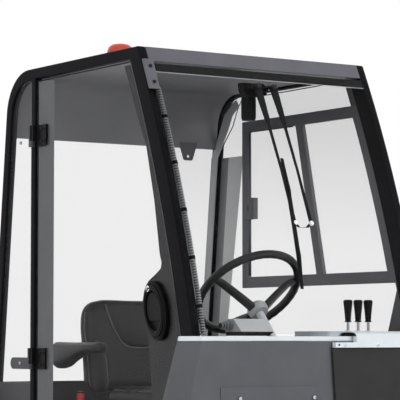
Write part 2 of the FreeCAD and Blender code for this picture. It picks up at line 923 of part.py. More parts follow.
def rear_arm():
    """Drop post and arm that carry the hopper's pivot and the foot of a tipping cylinder."""
    inner, outer = rail_inner_x, rail_outer_x
    middle = outer - rail_width / 2
    post = block(inner, outer, -rail_rear_back, -rail_rear_back + drop_depth,
                 arm_bottom, rail_bottom - rest_gap)
    arm = block(inner, outer, -arm_rear_back, -rail_rear_back + drop_depth, arm_bottom, arm_top)
    lug = rod(place(-hopper_pivot_back, hopper_pivot_height, inner),
              place(-hopper_pivot_back, hopper_pivot_height, outer), hopper_lug_radius)
    stem = block(inner, outer, -hopper_pivot_back - hopper_lug_radius,
                 -hopper_pivot_back + hopper_lug_radius, arm_bottom, hopper_pivot_height)
    reach = lug_side_gap + hopper_lug_thickness
    pin = rod(place(-hopper_pivot_back, hopper_pivot_height, inner - reach),
              place(-hopper_pivot_back, hopper_pivot_height, outer + reach), hopper_pin_radius)
    foot = rod(place(-cylinder_foot_back, cylinder_foot_height, middle),
               place(-cylinder_foot_back, cylinder_foot_height,
                     cylinder_x - eye_half_width - boss_gap), foot_tube_radius)
    foot_pin = rod(place(-cylinder_foot_back, cylinder_foot_height, outer),
                   place(-cylinder_foot_back, cylinder_foot_height, cylinder_x + eye_half_width),
                   eye_pin_radius)
    hole = rod(place(-lashing_back, arm_bottom - overrun, middle),
               place(-lashing_back, arm_top + overrun, middle), tow_hole_radius)
    return joined([post, arm, lug, stem, pin, foot, foot_pin]).cut(hole)


def axle_carrier():
    """Tapered carrier under a rail, with the stub axle of a rear wheel."""
    top = rail_bottom - rest_gap
    half = carrier_half_length
    foot = (half + axle_radius) / 2
    plate = slab([(-rear_wheel_back - half, top), (-rear_wheel_back + half, top),
                  (-rear_wheel_back + foot, carrier_bottom),
                  (-rear_wheel_back - foot, carrier_bottom)], rail_inner_x, rail_outer_x)
    axle = rod(place(-rear_wheel_back, tyre_radius, rail_outer_x - rail_width / 2),
               place(-rear_wheel_back, tyre_radius, rear_wheel_x + hub_length / 2), axle_radius)
    return plate.fuse(axle)


def tyre(centre_x, forward):
    half = tyre_width / 2
    crown = half - tyre_shoulder
    outline = [(tyre_bead_radius, -crown), (tyre_radius - tyre_shoulder, -half),
               (tyre_radius, -crown), (tyre_radius, crown),
               (tyre_radius - tyre_shoulder, half), (tyre_bead_radius, crown)]
    return turned(outline, place(forward, tyre_radius, centre_x), Vector(1, 0, 0),
                  Vector(0, 1, 0), tyre_facet_count)


def rim(centre_x, forward, side=1):
    """Dished disc wheel with its hub, bored for the axle."""
    half = tyre_width / 2 - tyre_shoulder
    rest = tyre_bead_radius * math.cos(math.pi / tyre_facet_count) - rest_gap
    inner = rest - rim_lip
    hub = hub_length / 2
    near, far = rim_dish - rim_disc / 2, rim_dish + rim_disc / 2
    outline = [(0.0, -hub), (wheel_hub_radius, -hub), (wheel_hub_radius, -rim_disc / 2),
               (inner, near), (inner, -half), (rest, -half), (rest, half), (inner, half),
               (inner, far), (wheel_hub_radius, rim_disc / 2), (wheel_hub_radius, hub), (0.0, hub)]
    centre = place(forward, tyre_radius, centre_x)
    wheel = turned([(radius, side * offset) for radius, offset in outline], centre,
                   Vector(1, 0, 0), Vector(0, 1, 0), tyre_facet_count)
    reach = Vector(hub_length, 0, 0)
    return wheel.cut(rod(centre - reach, centre + reach, axle_radius + running_gap))


def front_fork():
    wheel = front_wheel_forward - front_wheel_trail
    inner = hub_length / 2 + running_gap + rest_gap
    leg_inner = tyre_width / 2 + fork_leg_gap
    leg_outer = leg_inner + fork_leg_thickness
    crown_low = 2 * tyre_radius + fork_crown_gap
    half = fork_leg_width / 2
    legs = []
    for side in (-1, 1):
        low, high = sorted((side * leg_inner, side * leg_outer))
        leg = slab([(wheel - half, tyre_radius), (wheel + half, tyre_radius),
                    (front_wheel_forward + half, crown_low),
                    (front_wheel_forward - half, crown_low)], low, high)
        round_end = rod(place(wheel, tyre_radius, low), place(wheel, tyre_radius, high), half)
        spacer = rod(place(wheel, tyre_radius, side * inner),
                     place(wheel, tyre_radius, side * leg_inner), wheel_hub_radius)
        legs += [leg, round_end, spacer]
    crown = block(-leg_outer, leg_outer, front_wheel_forward - half, front_wheel_forward + half,
                  crown_low, crown_low + fork_crown_height - rest_gap)
    kingpin = rod(place(front_wheel_forward, crown_low), place(front_wheel_forward, rail_top),
                  kingpin_radius)
    axle = rod(place(wheel, tyre_radius, -leg_outer), place(wheel, tyre_radius, leg_outer),
               axle_radius)
    return joined(legs + [crown, kingpin, axle])


def fender():
    inner_radius = tyre_radius + fender_gap
    length = fender_outer_x - rail_outer_x - rest_gap
    start = place(-rear_wheel_back, tyre_radius, rail_outer_x + rest_gap)
    ring = Part.makeCylinder(inner_radius + fender_thickness, length, start, Vector(1, 0, 0))
    ring = ring.cut(Part.makeCylinder(inner_radius, length, start, Vector(1, 0, 0)))
    far = 2 * (inner_radius + fender_thickness)
    wedge = []
    for index in range(fender_step_count + 1):
        share = index / fender_step_count
        angle = math.radians(fender_front_angle
                             + (fender_rear_angle - fender_front_angle) * share)
        wedge.append((-rear_wheel_back + far * math.cos(angle),
                      tyre_radius + far * math.sin(angle)))
    keep = slab([(-rear_wheel_back, tyre_radius)] + wedge, rail_outer_x, fender_outer_x)
    return ring.common(keep)


def cowl_section(half_width, height, lean, grow):
    """A flat U outline of the cowl at one height, grown or shrunk all round."""
    half = half_width + grow
    front = cowl_front_forward + lean + grow
    cut = cowl_corner
    back = cowl_back_forward if grow >= 0 else cowl_back_forward - overrun
    outline = [(-half, back), (-half, front - cut), (-half + cut, front),
               (half - cut, front), (half, front - cut), (half, back)]
    points = [place(forward, height, x) for x, forward in outline]
    return Part.makePolygon(points + points[:1])


def cowl_body(grow):
    lean = cowl_lean
    low_drop = overrun if grow < 0 else 0.0
    upper = Part.makeLoft([cowl_section(cowl_foot_half_width, cowl_shoulder, lean, grow),
                           cowl_section(cowl_top_half_width, cowl_top, 0.0, grow)], True, True)
    lower = Part.makeLoft([cowl_section(cowl_foot_half_width, cowl_bottom - low_drop, lean, grow),
                           cowl_section(cowl_foot_half_width, cowl_shoulder, lean, grow)], True, True)
    return upper.fuse(lower).removeSplitter()


def front_cowl():
    """Grey apron in front of the cab, widening downwards to the shoulder."""
    shell = cowl_body(0.0).cut(cowl_body(-cowl_wall))
    above = block(-cab_width, cab_width, 0.0, cab_width,
                  cowl_top - lid_thickness - rest_gap, cowl_top + overrun)
    return shell.cut(above)


def cowl_lid():
    """Pale top plate: a strip over the cowl, and the dash between the front pillars."""
    low = cowl_top - lid_thickness
    strip = cowl_body(0.0).common(block(-cab_width, cab_width, 0.0, cab_width, low, cowl_top))
    inner = half_cab - frame_thickness - pillar_notch_gap
    dash = block(-inner, inner, lid_back_forward, cowl_front_forward - cowl_corner, low, cowl_top)
    return joined([strip, dash])


def cowl_plate(right, left, high, low, thickness):
    """A plate that lies on the cowl's front and follows its bend."""
    front = cowl_front_forward + rest_gap
    top_lean = cowl_lean * (cowl_top - high) / cowl_shoulder_drop
    outline = [(front + top_lean, high), (front + top_lean + thickness, high),
               (front + cowl_lean + thickness, cowl_shoulder), (front + cowl_lean + thickness, low),
               (front + cowl_lean, low), (front + cowl_lean, cowl_shoulder)]
    return slab(outline, right, left)


def front_panel():
    """Black panel on the front of the cowl, with slats below the shoulder."""
    plate = cowl_plate(panel_right, panel_left, panel_top, panel_bottom, panel_plate)
    face = cowl_front_forward + rest_gap + cowl_lean + panel_plate
    pitch = (cowl_shoulder - panel_bottom) / (slat_count + 1)
    for index in range(slat_count):
        low = panel_bottom + pitch * (index + 0.5)
        plate = plate.cut(block(panel_right + panel_frame, panel_left - panel_frame,
                                face - panel_plate / 2, face + overrun, low, low + slat_height))
    return plate


def cowl_hatch():
    """Access hatch on the cowl, at the machine's right."""
    return cowl_plate(hatch_right, hatch_left, cowl_top - hatch_top_drop,
                      cowl_bottom + hatch_foot_rise, hatch_plate)


def hood_arch(grow, right, left):
    """The arched hood's solid form, grown or shrunk in section, between two x values."""
    back = knee_forward + hood_screen_gap - grow
    front = cowl_front_forward + hood_overhang + grow
    base = cowl_top + rest_gap
    rise = console_top + grow - base
    outline = [(back + (front - back) * run, base + rise * up)
               for run, up in zip(hood_run_shares, hood_rise_shares)]
    if grow < 0:
        outline = [(back, base - overrun)] + outline + [(front, base - overrun)]
    return slab(outline, right, left)


def lever_console():
    """Arched hood, open at its right end, with its flange, and the panel behind the glass."""
    hood = hood_arch(0.0, hood_right, hood_left)
    hood = hood.cut(hood_arch(-hood_wall, hood_right - overrun, hood_left - hood_wall))
    front = cowl_front_forward + hood_overhang
    low = panel_top + rest_gap
    wall = block(hood_right, hood_left, front - flange_depth, front, low, cowl_top + rest_gap)
    flange = block(flange_right, hood_left, front - flange_depth, front, low, low + flange_height)
    inner = half_cab - frame_thickness - pillar_notch_gap
    panel = block(console_inner_right, inner, console_back_forward, knee_forward - seal_gap,
                  cowl_top + rest_gap, console_top)
    return Part.makeCompound([joined([hood, wall, flange]),
                              rounded(panel, console_round, upright)])


def levers():
    """Three plated rods with flared grips."""
    pieces = []
    base = console_top + rest_gap
    grip_low = console_top + lever_height - lever_grip_length
    collar = lever_grip_radius * lever_collar_share
    foot = lever_grip_radius * lever_foot_share
    shoulder = lever_grip_length - lever_collar_height * 2
    outline = [(0.0, 0.0), (collar, 0.0), (collar, lever_collar_height),
               (foot, lever_collar_height), (lever_grip_radius, shoulder),
               (collar, lever_grip_length), (0.0, lever_grip_length)]
    for index in range(lever_count):
        x = lever_first_x + index * lever_spacing
        stem = rod(place(lever_forward, base, x), place(lever_forward, grip_low, x),
                   lever_rod_radius)
        grip = turned(outline, place(lever_forward, grip_low, x), Vector(0, 0, 1),
                      Vector(1, 0, 0), small_facet_count)
        pieces.append(stem.fuse(grip))
    return Part.makeCompound(pieces)


def wheel_axis():
    tilt = math.radians(wheel_tilt)
    return Vector(0, math.sin(tilt), math.cos(tilt))


def steering_wheel():
    """Round rim on three flat, dished spokes."""
    centre = place(rim_centre_forward, rim_centre_height, operator_offset)
    axis = wheel_axis()
    across = Vector(1, 0, 0)
    up = axis.cross(across)
    section = []
    for index in range(rim_side_count):
        turn = 2 * math.pi * (index + 0.5) / rim_side_count
        section.append((rim_radius + rim_thickness * math.cos(turn),
                        rim_thickness * math.sin(turn)))
    ring = turned(section, centre, axis, across, rim_facet_count)
    hub_mid = centre - axis * dish_depth
    hub_low = hub_mid - axis * (hub_height / 2)
    hub = Part.makeCylinder(hub_radius, hub_height, hub_low, axis)
    pieces = [ring, hub, Part.makeCylinder(column_radius / 2, column_gap,
                                           hub_low - axis * column_gap, axis)]
    for angle in spoke_angles:
        turn = math.radians(angle)
        outward = across * math.cos(turn) + up * math.sin(turn)
        sideways = axis.cross(outward)
        bend = centre + outward * (rim_radius * spoke_bend_share)
        bend = bend - axis * (spoke_thickness / 2)
        pieces.append(strap(hub_mid, bend + outward * (spoke_thickness / 2), sideways,
                            spoke_width, spoke_width, spoke_thickness))
        pieces.append(strap(bend, centre + outward * rim_radius, sideways,
                            spoke_width, spoke_width, spoke_thickness))
    return joined(pieces)


def steering_column():
    """Column tube, floor pedestal, and the wedge-shaped pod with its pleated stalk boot."""
    axis = wheel_axis()
    top = place(rim_centre_forward, rim_centre_height, operator_offset)
    top = top - axis * (dish_depth + hub_height / 2 + column_gap + rest_gap)
    foot = top - axis * column_length
    tube = rod(foot, top, column_radius)
    foot_forward = header_y - foot.y
    half = pedestal_depth / 2
    stand = block(operator_offset - pedestal_width / 2, operator_offset + pedestal_width / 2,
                  foot_forward - half, foot_forward + half, floor_top + rest_gap,
                  foot.z + column_radius)
    low = cowl_top + pod_bottom_rise
    centre_x = operator_offset + pod_shift
    right = centre_x - pod_width / 2
    pod = slab([(pod_back_forward, low), (pod_lip_forward, low),
                (pod_lip_forward, low + pod_lip_height), (pod_top_forward, low + pod_height),
                (pod_back_forward, low + pod_height)], right, centre_x + pod_width / 2)
    pleat = stalk_boot_length / stalk_boot_count
    outline = [(0.0, 0.0)]
    for index in range(stalk_boot_count):
        outline.append((stalk_boot_radius, pleat * index))
        outline.append((stalk_boot_radius - stalk_boot_groove, pleat * (index + 0.5)))
    outline += [(stalk_boot_radius, stalk_boot_length), (0.0, stalk_boot_length)]
    boot = turned(outline, place(stalk_boot_forward, low + stalk_boot_rise, right),
                  Vector(-1, 0, 0), Vector(0, 0, 1), small_facet_count)
    return joined([tube, stand, pod, boot])


def brake_lever():
    """Parking lever with a red grip, between the seat box and the door."""
    foot = place(-brake_lever_back, floor_top + rest_gap, brake_lever_x)
    top = place(-brake_lever_back, floor_top + brake_lever_height, brake_lever_x)
    grip = rod(top - Vector(0, 0, brake_grip_length), top, brake_grip_radius)
    return rod(foot, top, brake_lever_radius).fuse(grip)


def seat_base():
    """Bellows between the engine box and the cushion."""
    half = seat_width / 2 - seat_base_inset
    back = -cushion_front_back - cushion_depth + seat_base_inset
    front = -cushion_front_back - seat_base_inset
    pleat = (seat_base_height - 2 * rest_gap) / bellows_count
    layers = []
    for index in range(bellows_count):
        low = engine_box_top + rest_gap + pleat * index
        layers.append(block(operator_offset - half, operator_offset + half, back, front,
                            low, low + pleat / 2))
        layers.append(block(operator_offset - half + bellows_groove,
                            operator_offset + half - bellows_groove, back + bellows_groove,
                            front - bellows_groove, low + pleat / 2, low + pleat))
    return joined(layers)


def seat_cushion():
    half = seat_width / 2
    pad = block(operator_offset - half, operator_offset + half,
                -cushion_front_back - cushion_depth, -cushion_front_back,
                cushion_bottom, cushion_bottom + cushion_height)
    return rounded(pad, seat_corner, upright)


def seat_backrest():
    half = seat_width / 2
    top = back_low + back_height
    lean = back_height * math.tan(math.radians(back_rake))
    front = -cushion_front_back - cushion_depth
    outline = [(front, back_low), (front - lean, top), (front - lean - back_thickness, top),
               (front - back_thickness, back_low)]
    pad = slab(outline, operator_offset - half, operator_offset + half)
    return rounded(pad, seat_corner, fore_and_aft)


def armrests():
    """Pads that deepen towards the back, on stems from the backrest."""
    tip = -armrest_front_back
    outline = [(tip - armrest_length * run, armrest_top - armrest_depth * drop)
               for run, drop in zip(armrest_run_shares, armrest_drop_shares)]
    stem_forward = -cushion_front_back - cushion_depth - back_thickness
    stem_height = armrest_top - armrest_depth / 2
    pads = []
    for side in (-1, 1):
        inner = operator_offset + side * (seat_width / 2 + armrest_gap)
        low, high = sorted((inner, inner + side * armrest_width))
        seat_side = operator_offset + side * (seat_width / 2 + rest_gap)
        stem = rod(place(stem_forward, stem_height, seat_side),
                   place(stem_forward, stem_height, inner + side * armrest_stem),
                   armrest_stem / 2)
        pads.append(joined([slab(outline, low, high), stem]))
    return Part.makeCompound(pads)


def bumper():
    cut = bumper_corner
    half = bumper_half_width
    back = rail_front_forward + rest_gap
    beam = plan([(-half, back), (-half, bumper_front_forward - cut),
                 (-half + cut, bumper_front_forward), (half - cut, bumper_front_forward),
                 (half, bumper_front_forward - cut), (half, back)], bumper_bottom, bumper_top)
    for side in (-1, 1):
        beam = beam.cut(rod(place(bumper_front_forward - lamp_depth, lamp_height, side * lamp_x),
                            place(bumper_front_forward + overrun, lamp_height, side * lamp_x),
                            lamp_radius + rest_gap))
    return beam


def head_lamps():
    lamp = rod(place(bumper_front_forward - lamp_depth + rest_gap, lamp_height, lamp_x),
               place(bumper_front_forward + lamp_bezel, lamp_height, lamp_x), lamp_radius)
    return pair(lamp)


def side_covers():
    """Boxes below the door and the left side, each with a recessed step."""
    edge = cover_edge
    cover = plan([(cover_inner_x, -cover_rear_back), (cover_outer_x - edge, -cover_rear_back),
                  (cover_outer_x, -cover_rear_back + edge), (cover_outer_x, cover_front_forward - edge),
                  (cover_outer_x - edge, cover_front_forward), (cover_inner_x, cover_front_forward)],
                 cover_bottom, cover_top)
    step = block(cover_outer_x - step_depth, cover_outer_x + overrun,
                 -step_centre_back - step_half_length, -step_centre_back + step_half_length,
                 step_bottom, cover_top + overrun)
    hanger = block(rail_outer_x + rest_gap, cover_inner_x, -cover_rear_back + hanger_depth,
                   0.0, rail_bottom, rail_top - cover_hanger_drop)
    return pair(joined([cover.cut(step), hanger]))


def brush_tunnel():
    half = tunnel_half_width
    wall = tunnel_wall
    outline = [(-tunnel_front_back, tunnel_bottom), (-tunnel_front_back, tunnel_top),
               (-tunnel_rear_back, tunnel_top), (-tunnel_rear_back, chute_bottom),
               (-tunnel_mid_back, chute_bottom), (-tunnel_mid_back, tunnel_bottom)]
    side = slab(outline, half - wall, half)
    bore = rod(place(-brush_centre_back, brush_centre_height, half - overrun),
               place(-brush_centre_back, brush_centre_height, half + overrun),
               brush_shaft_radius + running_gap)
    side = side.cut(bore)
    top = block(-half, half, -tunnel_rear_back, -tunnel_front_back, tunnel_top - wall, tunnel_top)
    front = block(-half, half, -tunnel_front_back - wall, -tunnel_front_back,
                  tunnel_bottom, tunnel_top)
    floor = block(-half, half, -tunnel_rear_back, -tunnel_mid_back, chute_bottom,
                  chute_bottom + wall)
    hangers = block(half, rail_outer_x, -tunnel_front_back - hanger_depth,
                    -tunnel_front_back - wall, tunnel_top - hanger_depth, rail_bottom - rest_gap)
    return joined([side, mirrored(side), top, front, floor, hangers, mirrored(hangers)])


def main_brush():
    """Core with rows of bristle, stepped round in a V from the middle to the ends."""
    centre = place(-brush_centre_back, brush_centre_height)
    across = Vector(1, 0, 0)
    step = brush_half_length / brush_step_count
    shaft_end = across * tunnel_half_width
    pieces = [rod(centre - shaft_end, centre + shaft_end, brush_shaft_radius)]
    for side in (-1, 1):
        for index in range(brush_step_count):
            base = centre + across * (side * step * index)
            points = []
            for row in range(brush_row_count):
                turn = math.radians(360.0 * row / brush_row_count + brush_step_turn * index)
                outward = Vector(0, math.cos(turn), math.sin(turn))
                sideways = across.cross(outward) * (brush_row_width / 2)
                low, high = outward * brush_core_radius, outward * brush_radius
                points += [base + low - sideways, base + high - sideways,
                           base + high + sideways, base + low + sideways]
            pieces.append(flat(points).extrude(across * (side * step)))
    return joined(pieces)


def side_brush(side):
    """Round disc with tufts that flare down and out."""
    centre_x = side * side_brush_x
    low = place(side_brush_forward, side_disc_bottom, centre_x)
    disc = turned([(0.0, 0.0), (side_disc_radius, 0.0), (side_disc_radius, side_disc_height),
                   (0.0, side_disc_height)], low, Vector(0, 0, 1), Vector(1, 0, 0),
                  side_disc_facet_count)
    shaft_top = side_motor_bottom - rest_gap
    shaft = rod(low, place(side_brush_forward, shaft_top, centre_x), side_shaft_radius)
    root = side_disc_radius - side_tuft_thickness
    profile = [(root, side_disc_bottom + side_tuft_root),
               (root, side_disc_bottom + side_tuft_thickness),
               (side_brush_radius, side_tip_height + side_tuft_thickness),
               (side_brush_radius, side_tip_height)]
    face = flat([Vector(radius, -side_tuft_width / 2, height) for radius, height in profile])
    tufts = []
    for index in range(side_tuft_count):
        tuft = face.extrude(Vector(0, side_tuft_width, 0))
        tuft.rotate(Vector(0, 0, 0), Vector(0, 0, 1), 360.0 * index / side_tuft_count)
        tuft.translate(place(side_brush_forward, 0.0, centre_x))
        tufts.append(tuft)
    return joined([disc, shaft] + tufts)


def side_arm():
    """Flat bar from the chassis pin to a plate that carries the brush motor."""
    inner = rail_outer_x + side_arm_gap
    outer = inner + side_arm_thickness
    half = side_arm_width / 2
    plate_top = side_motor_top + side_arm_plate
    front = side_brush_forward + side_motor_radius
    bar = slab([(side_arm_forward, side_arm_height - half),
                (side_arm_forward, side_arm_height + half),
                (side_brush_forward - side_motor_radius, plate_top + half),
                (front, plate_top), (front, side_motor_top),
                (side_brush_forward - side_motor_radius, side_motor_top)], inner, outer)
    eye = rod(place(side_arm_forward, side_arm_height, inner),
              place(side_arm_forward, side_arm_height, outer), half)
    plate = block(side_brush_x - side_motor_radius, outer,
                  side_brush_forward - side_motor_radius, front, side_motor_top, plate_top)
    motor = rod(place(side_brush_forward, side_motor_bottom, side_brush_x),
                place(side_brush_forward, side_motor_top + side_arm_plate / 2, side_brush_x),
                side_motor_radius)
    bore = rod(place(side_arm_forward, side_arm_height, inner - overrun),
               place(side_arm_forward, side_arm_height, outer + overrun),
               side_pin_radius + running_gap)
    return joined([bar, eye, plate, motor]).cut(bore)


def door_glass():
    outer = half_cab - glass_thickness
    return door_region(door_gap, door_bottom, outer - glass_thickness, outer)


def hinge_posts():
    """Fixed leaves and pins on the hinge post, the lower one with a tongue to the rear."""
    shapes = []
    axis_x = half_cab + hinge_stand_off
    line = door_front_back()
    near, far = half_cab + rest_gap, half_cab + rest_gap + hinge_leaf_thickness
    for height in (hinge_upper, hinge_lower):
        low, high = height - hinge_height / 2, height + hinge_height / 2
        split = height - hinge_height / 4
        shapes.append([block(near, far, line - hinge_post_leaf, line - hinge_radius, low, high),
                       block(near, axis_x, line - hinge_radius * 2, line, low, split),
                       rod(place(line, low, axis_x), place(line, high, axis_x), hinge_pin_radius),
                       rod(place(line, low, axis_x), place(line, split, axis_x), hinge_radius)])
    half = tongue_height / 2
    middle = hinge_lower - hinge_height / 2 + half
    end = line - tongue_length + half
    shapes[-1].append(block(near, far, end, line - hinge_radius * 2, middle - half, middle + half))
    shapes[-1].append(rod(place(end, middle, near), place(end, middle, far), half))
    return Part.makeCompound([joined(pieces) for pieces in shapes])


def door_hinges():
    """The leaves that clamp the door glass, with the upper knuckles."""
    shapes = []
    axis_x = half_cab + hinge_stand_off
    line = door_front_back()
    near = half_cab - glass_thickness + rest_gap
    for height in (hinge_upper, hinge_lower):
        low = height - hinge_height / 4 + rest_gap
        high = height + hinge_height / 2
        leaf = block(near, near + hinge_leaf_thickness, line + door_gap, line + hinge_door_leaf,
                     low - hinge_height / 4, high)
        web = block(near, axis_x, line + door_gap, line + door_gap + hinge_radius, low, high)
        knuckle = rod(place(line, low, axis_x), place(line, high, axis_x), hinge_radius)
        bridge = block(axis_x - hinge_radius / 2, axis_x + hinge_radius / 2, line,
                       line + door_gap + hinge_radius, low, high)
        bore = rod(place(line, low - overrun, axis_x), place(line, high + overrun, axis_x),
                   hinge_pin_radius + running_gap)
        shapes.append(joined([leaf, web, knuckle, bridge]).cut(bore))
    return shapes


def lock_oval(share, near, far):
    """A slice of the lock's leaning oval, between two depths from the glass."""
    lean = math.radians(lock_lean)
    base_x = half_cab - glass_thickness + rest_gap
    points = []
    for index in range(lock_facet_count):
        turn = 2 * math.pi * index / lock_facet_count
        along = lock_long_radius * share * math.cos(turn)
        aside = lock_short_radius * share * math.sin(turn)
        points.append(place(lock_forward - along * math.sin(lean) + aside * math.cos(lean),
                            lock_height + along * math.cos(lean) + aside * math.sin(lean),
                            base_x + near))
    return flat(points).extrude(Vector(far - near, 0, 0))


def door_lock():
    """Large oval lock on the outside of the glass: base, ring, dished pocket and pull paddle."""
    floor = lock_ring_depth - lock_dish_depth
    body = joined([lock_oval(1.0, 0.0, lock_depth), lock_oval(lock_ring_share, 0.0, lock_ring_depth)])
    body = body.cut(lock_oval(lock_dish_share, floor, lock_ring_depth + overrun))
    upper = block(0.0, cab_width, lock_forward - lock_long_radius, lock_forward + lock_long_radius,
                  lock_height - lock_short_radius / 2, lock_height + lock_long_radius)
    paddle = lock_oval(lock_paddle_share, floor, floor + lock_paddle_depth).common(upper)
    return body.fuse(paddle)


def door_fittings():
    return Part.makeCompound(door_hinges() + [door_lock()])


def slider_frame():
    """Sliding window frame inside the left glass, with a leaning middle post and a latch."""
    outer = half_cab - 2 * glass_thickness - rest_gap
    inner = outer - slider_depth
    frame = side_opening(rest_gap, waist_height, inner, outer)
    frame = frame.common(block(0.0, cab_width, -slider_back, knee_forward,
                               slider_bottom, slider_top))
    hole = side_opening(rest_gap, waist_height, inner - overrun, outer + overrun)
    hole.translate(place(-slider_bar, 0.0) - place(0.0, 0.0))
    hole = hole.common(block(0.0, cab_width, -slider_back + slider_bar, knee_forward,
                             slider_bottom + slider_bar, slider_top - slider_bar))
    high, low = slider_top - slider_bar / 2, slider_bottom + slider_bar / 2
    lean = (high - low) * slider_post_lean_share
    post = slab([(-slider_post_back, high), (-slider_post_back - slider_post_width, high),
                 (-slider_post_back - slider_post_width + lean, low),
                 (-slider_post_back + lean, low)], inner, outer)
    latch_low = slider_bottom + slider_latch_rise
    latch = block(inner - slider_latch_depth, outer, -slider_back + slider_bar / 2,
                  -slider_back + slider_bar + slider_latch_width,
                  latch_low, latch_low + slider_latch_height)
    return joined([frame.cut(hole), post, latch])


def hopper():
    half = hopper_half_width
    wall = hopper_wall
    outline = [(-hopper_front_back, hopper_bottom), (-hopper_front_back, hopper_top),
               (-hopper_rear_back + hopper_rear_slope, hopper_top),
               (-hopper_rear_back, hopper_top - hopper_rear_drop),
               (-hopper_rear_back, hopper_bottom)]
    hollow = [(-hopper_front_back - wall, hopper_bottom + wall),
              (-hopper_front_back - wall, hopper_top - wall),
              (-hopper_rear_back + hopper_rear_slope, hopper_top - wall),
              (-hopper_rear_back + wall, hopper_top - hopper_rear_drop - wall),
              (-hopper_rear_back + wall, hopper_bottom + wall)]
    shell = slab(outline, -half, half).cut(slab(hollow, -half + wall, half - wall))
    shell = shell.cut(block(-mouth_half_width, mouth_half_width, -hopper_front_back - 2 * wall,
                            -hopper_front_back + overrun, hopper_bottom + wall, mouth_top))
    outlet = tailgate_half_width - tailgate_lap
    shell = shell.cut(block(-outlet, outlet, -hopper_rear_back - overrun,
                            -hopper_rear_back + 2 * wall, hopper_bottom + wall,
                            tailgate_top - tailgate_lap))
    pieces = [shell]
    inner = rail_inner_x
    for side in (-1, 1):
        low, high = sorted((side * half, side * (half + hopper_rib_height)))
        for index in range(hopper_rib_count):
            share = index / (hopper_rib_count - 1)
            middle = -hopper_front_back - hopper_rib_inset
            middle -= (hopper_depth - 2 * hopper_rib_inset) * share
            pieces.append(block(low, high, middle - hopper_rib_width / 2,
                                middle + hopper_rib_width / 2, hopper_bottom + hopper_rib_width,
                                tailgate_top))
        spans = ((inner - lug_side_gap - hopper_lug_thickness, inner - lug_side_gap),
                 (rail_outer_x + lug_side_gap,
                  rail_outer_x + lug_side_gap + hopper_lug_thickness))
        for near, far in spans:
            low, high = sorted((side * near, side * far))
            eye = rod(place(-hopper_pivot_back, hopper_pivot_height, low),
                      place(-hopper_pivot_back, hopper_pivot_height, high), hopper_lug_radius)
            web = block(low, high, -hopper_pivot_back - hopper_lug_radius,
                        -hopper_pivot_back + hopper_lug_radius, hopper_pivot_height,
                        hopper_bottom + wall / 2)
            bore = rod(place(-hopper_pivot_back, hopper_pivot_height, low - wall),
                       place(-hopper_pivot_back, hopper_pivot_height, high + wall),
                       hopper_pin_radius + running_gap)
            pieces.append(eye.fuse(web).cut(bore))
        boss_end = cylinder_x - eye_half_width - boss_gap
        low, high = sorted((side * (half - wall / 2), side * boss_end))
        pieces.append(rod(place(-cylinder_head_back, cylinder_head_height, low),
                          place(-cylinder_head_back, cylinder_head_height, high), eye_radius))
        hinge_low = side * tailgate_hinge_x - tailgate_hinge_length / 2
        hinge_z = tailgate_top + tailgate_hinge_radius
        hinge_back = -hopper_rear_back - tailgate_gap - tailgate_thickness / 2
        pieces.append(rod(place(hinge_back, hinge_z, hinge_low - tailgate_hinge_length),
                          place(hinge_back, hinge_z, hinge_low + 2 * tailgate_hinge_length),
                          tailgate_hinge_radius / 2))
        for end in (hinge_low - tailgate_hinge_length, hinge_low + tailgate_hinge_length):
            knuckle_low = end + rest_gap
            knuckle_high = end + tailgate_hinge_length - rest_gap
            pieces.append(block(knuckle_low, knuckle_high, hinge_back,
                                -hopper_rear_back + wall / 2,
                                hinge_z - tailgate_hinge_radius / 2,
                                hinge_z + tailgate_hinge_radius))
    return joined(pieces)


def tailgate():
    """Rear door of the hopper, with its hinges, two pressed ribs and a pull handle."""
    half = tailgate_half_width
    front = -hopper_rear_back - tailgate_gap
    back = front - tailgate_thickness
    top = tailgate_top - tailgate_gap
    hinge_z = tailgate_top + tailgate_hinge_radius
    hinge_back = (back + front) / 2
    handle_z = tailgate_bottom + handle_rise
    pieces = [block(-half, half, back, front, tailgate_bottom, top),
              rod(place(back - handle_reach, handle_z, -handle_half_length),
                  place(back - handle_reach, handle_z, handle_half_length), handle_radius)]
    bores = []
    for side in (-1, 1):
        low = side * tailgate_hinge_x - tailgate_hinge_length / 2 + rest_gap
        high = low + tailgate_hinge_length - 2 * rest_gap
        pieces.append(rod(place(hinge_back, hinge_z, low), place(hinge_back, hinge_z, high),
                          tailgate_hinge_radius))
        pieces.append(block(low, high, back, front, top - tailgate_gap, hinge_z))
        rib = side * tailgate_rib_x
        pieces.append(block(rib - tailgate_rib_width / 2, rib + tailgate_rib_width / 2,
                            back - tailgate_rib_height, front, tailgate_bottom + tailgate_rib_inset,
                            top - tailgate_rib_inset))
        post = side * (handle_half_length - handle_radius)
        pieces.append(block(post - handle_radius, post + handle_radius, back - handle_reach,
                            front, handle_z - handle_radius, handle_z + handle_radius))
        bores.append(rod(place(hinge_back, hinge_z, low - overrun),
                         place(hinge_back, hinge_z, high + overrun),
                         tailgate_hinge_radius / 2 + running_gap))
    whole = joined(pieces)
    for bore in bores:
        whole = whole.cut(bore)
    return whole


def rear_lamps():
    high = hopper_top - hopper_rear_drop - rear_lamp_inset
    lamp = block(hopper_half_width - rear_lamp_width, hopper_half_width,
                 -hopper_rear_back - rear_lamp_depth, -hopper_rear_back - rest_gap,
                 high - rear_lamp_height, high)
    return pair(lamp)


def cylinder_line():
    foot = place(-cylinder_foot_back, cylinder_foot_height, cylinder_x)
    head = place(-cylinder_head_back, cylinder_head_height, cylinder_x)
    return foot, head, (head - foot).normalize()


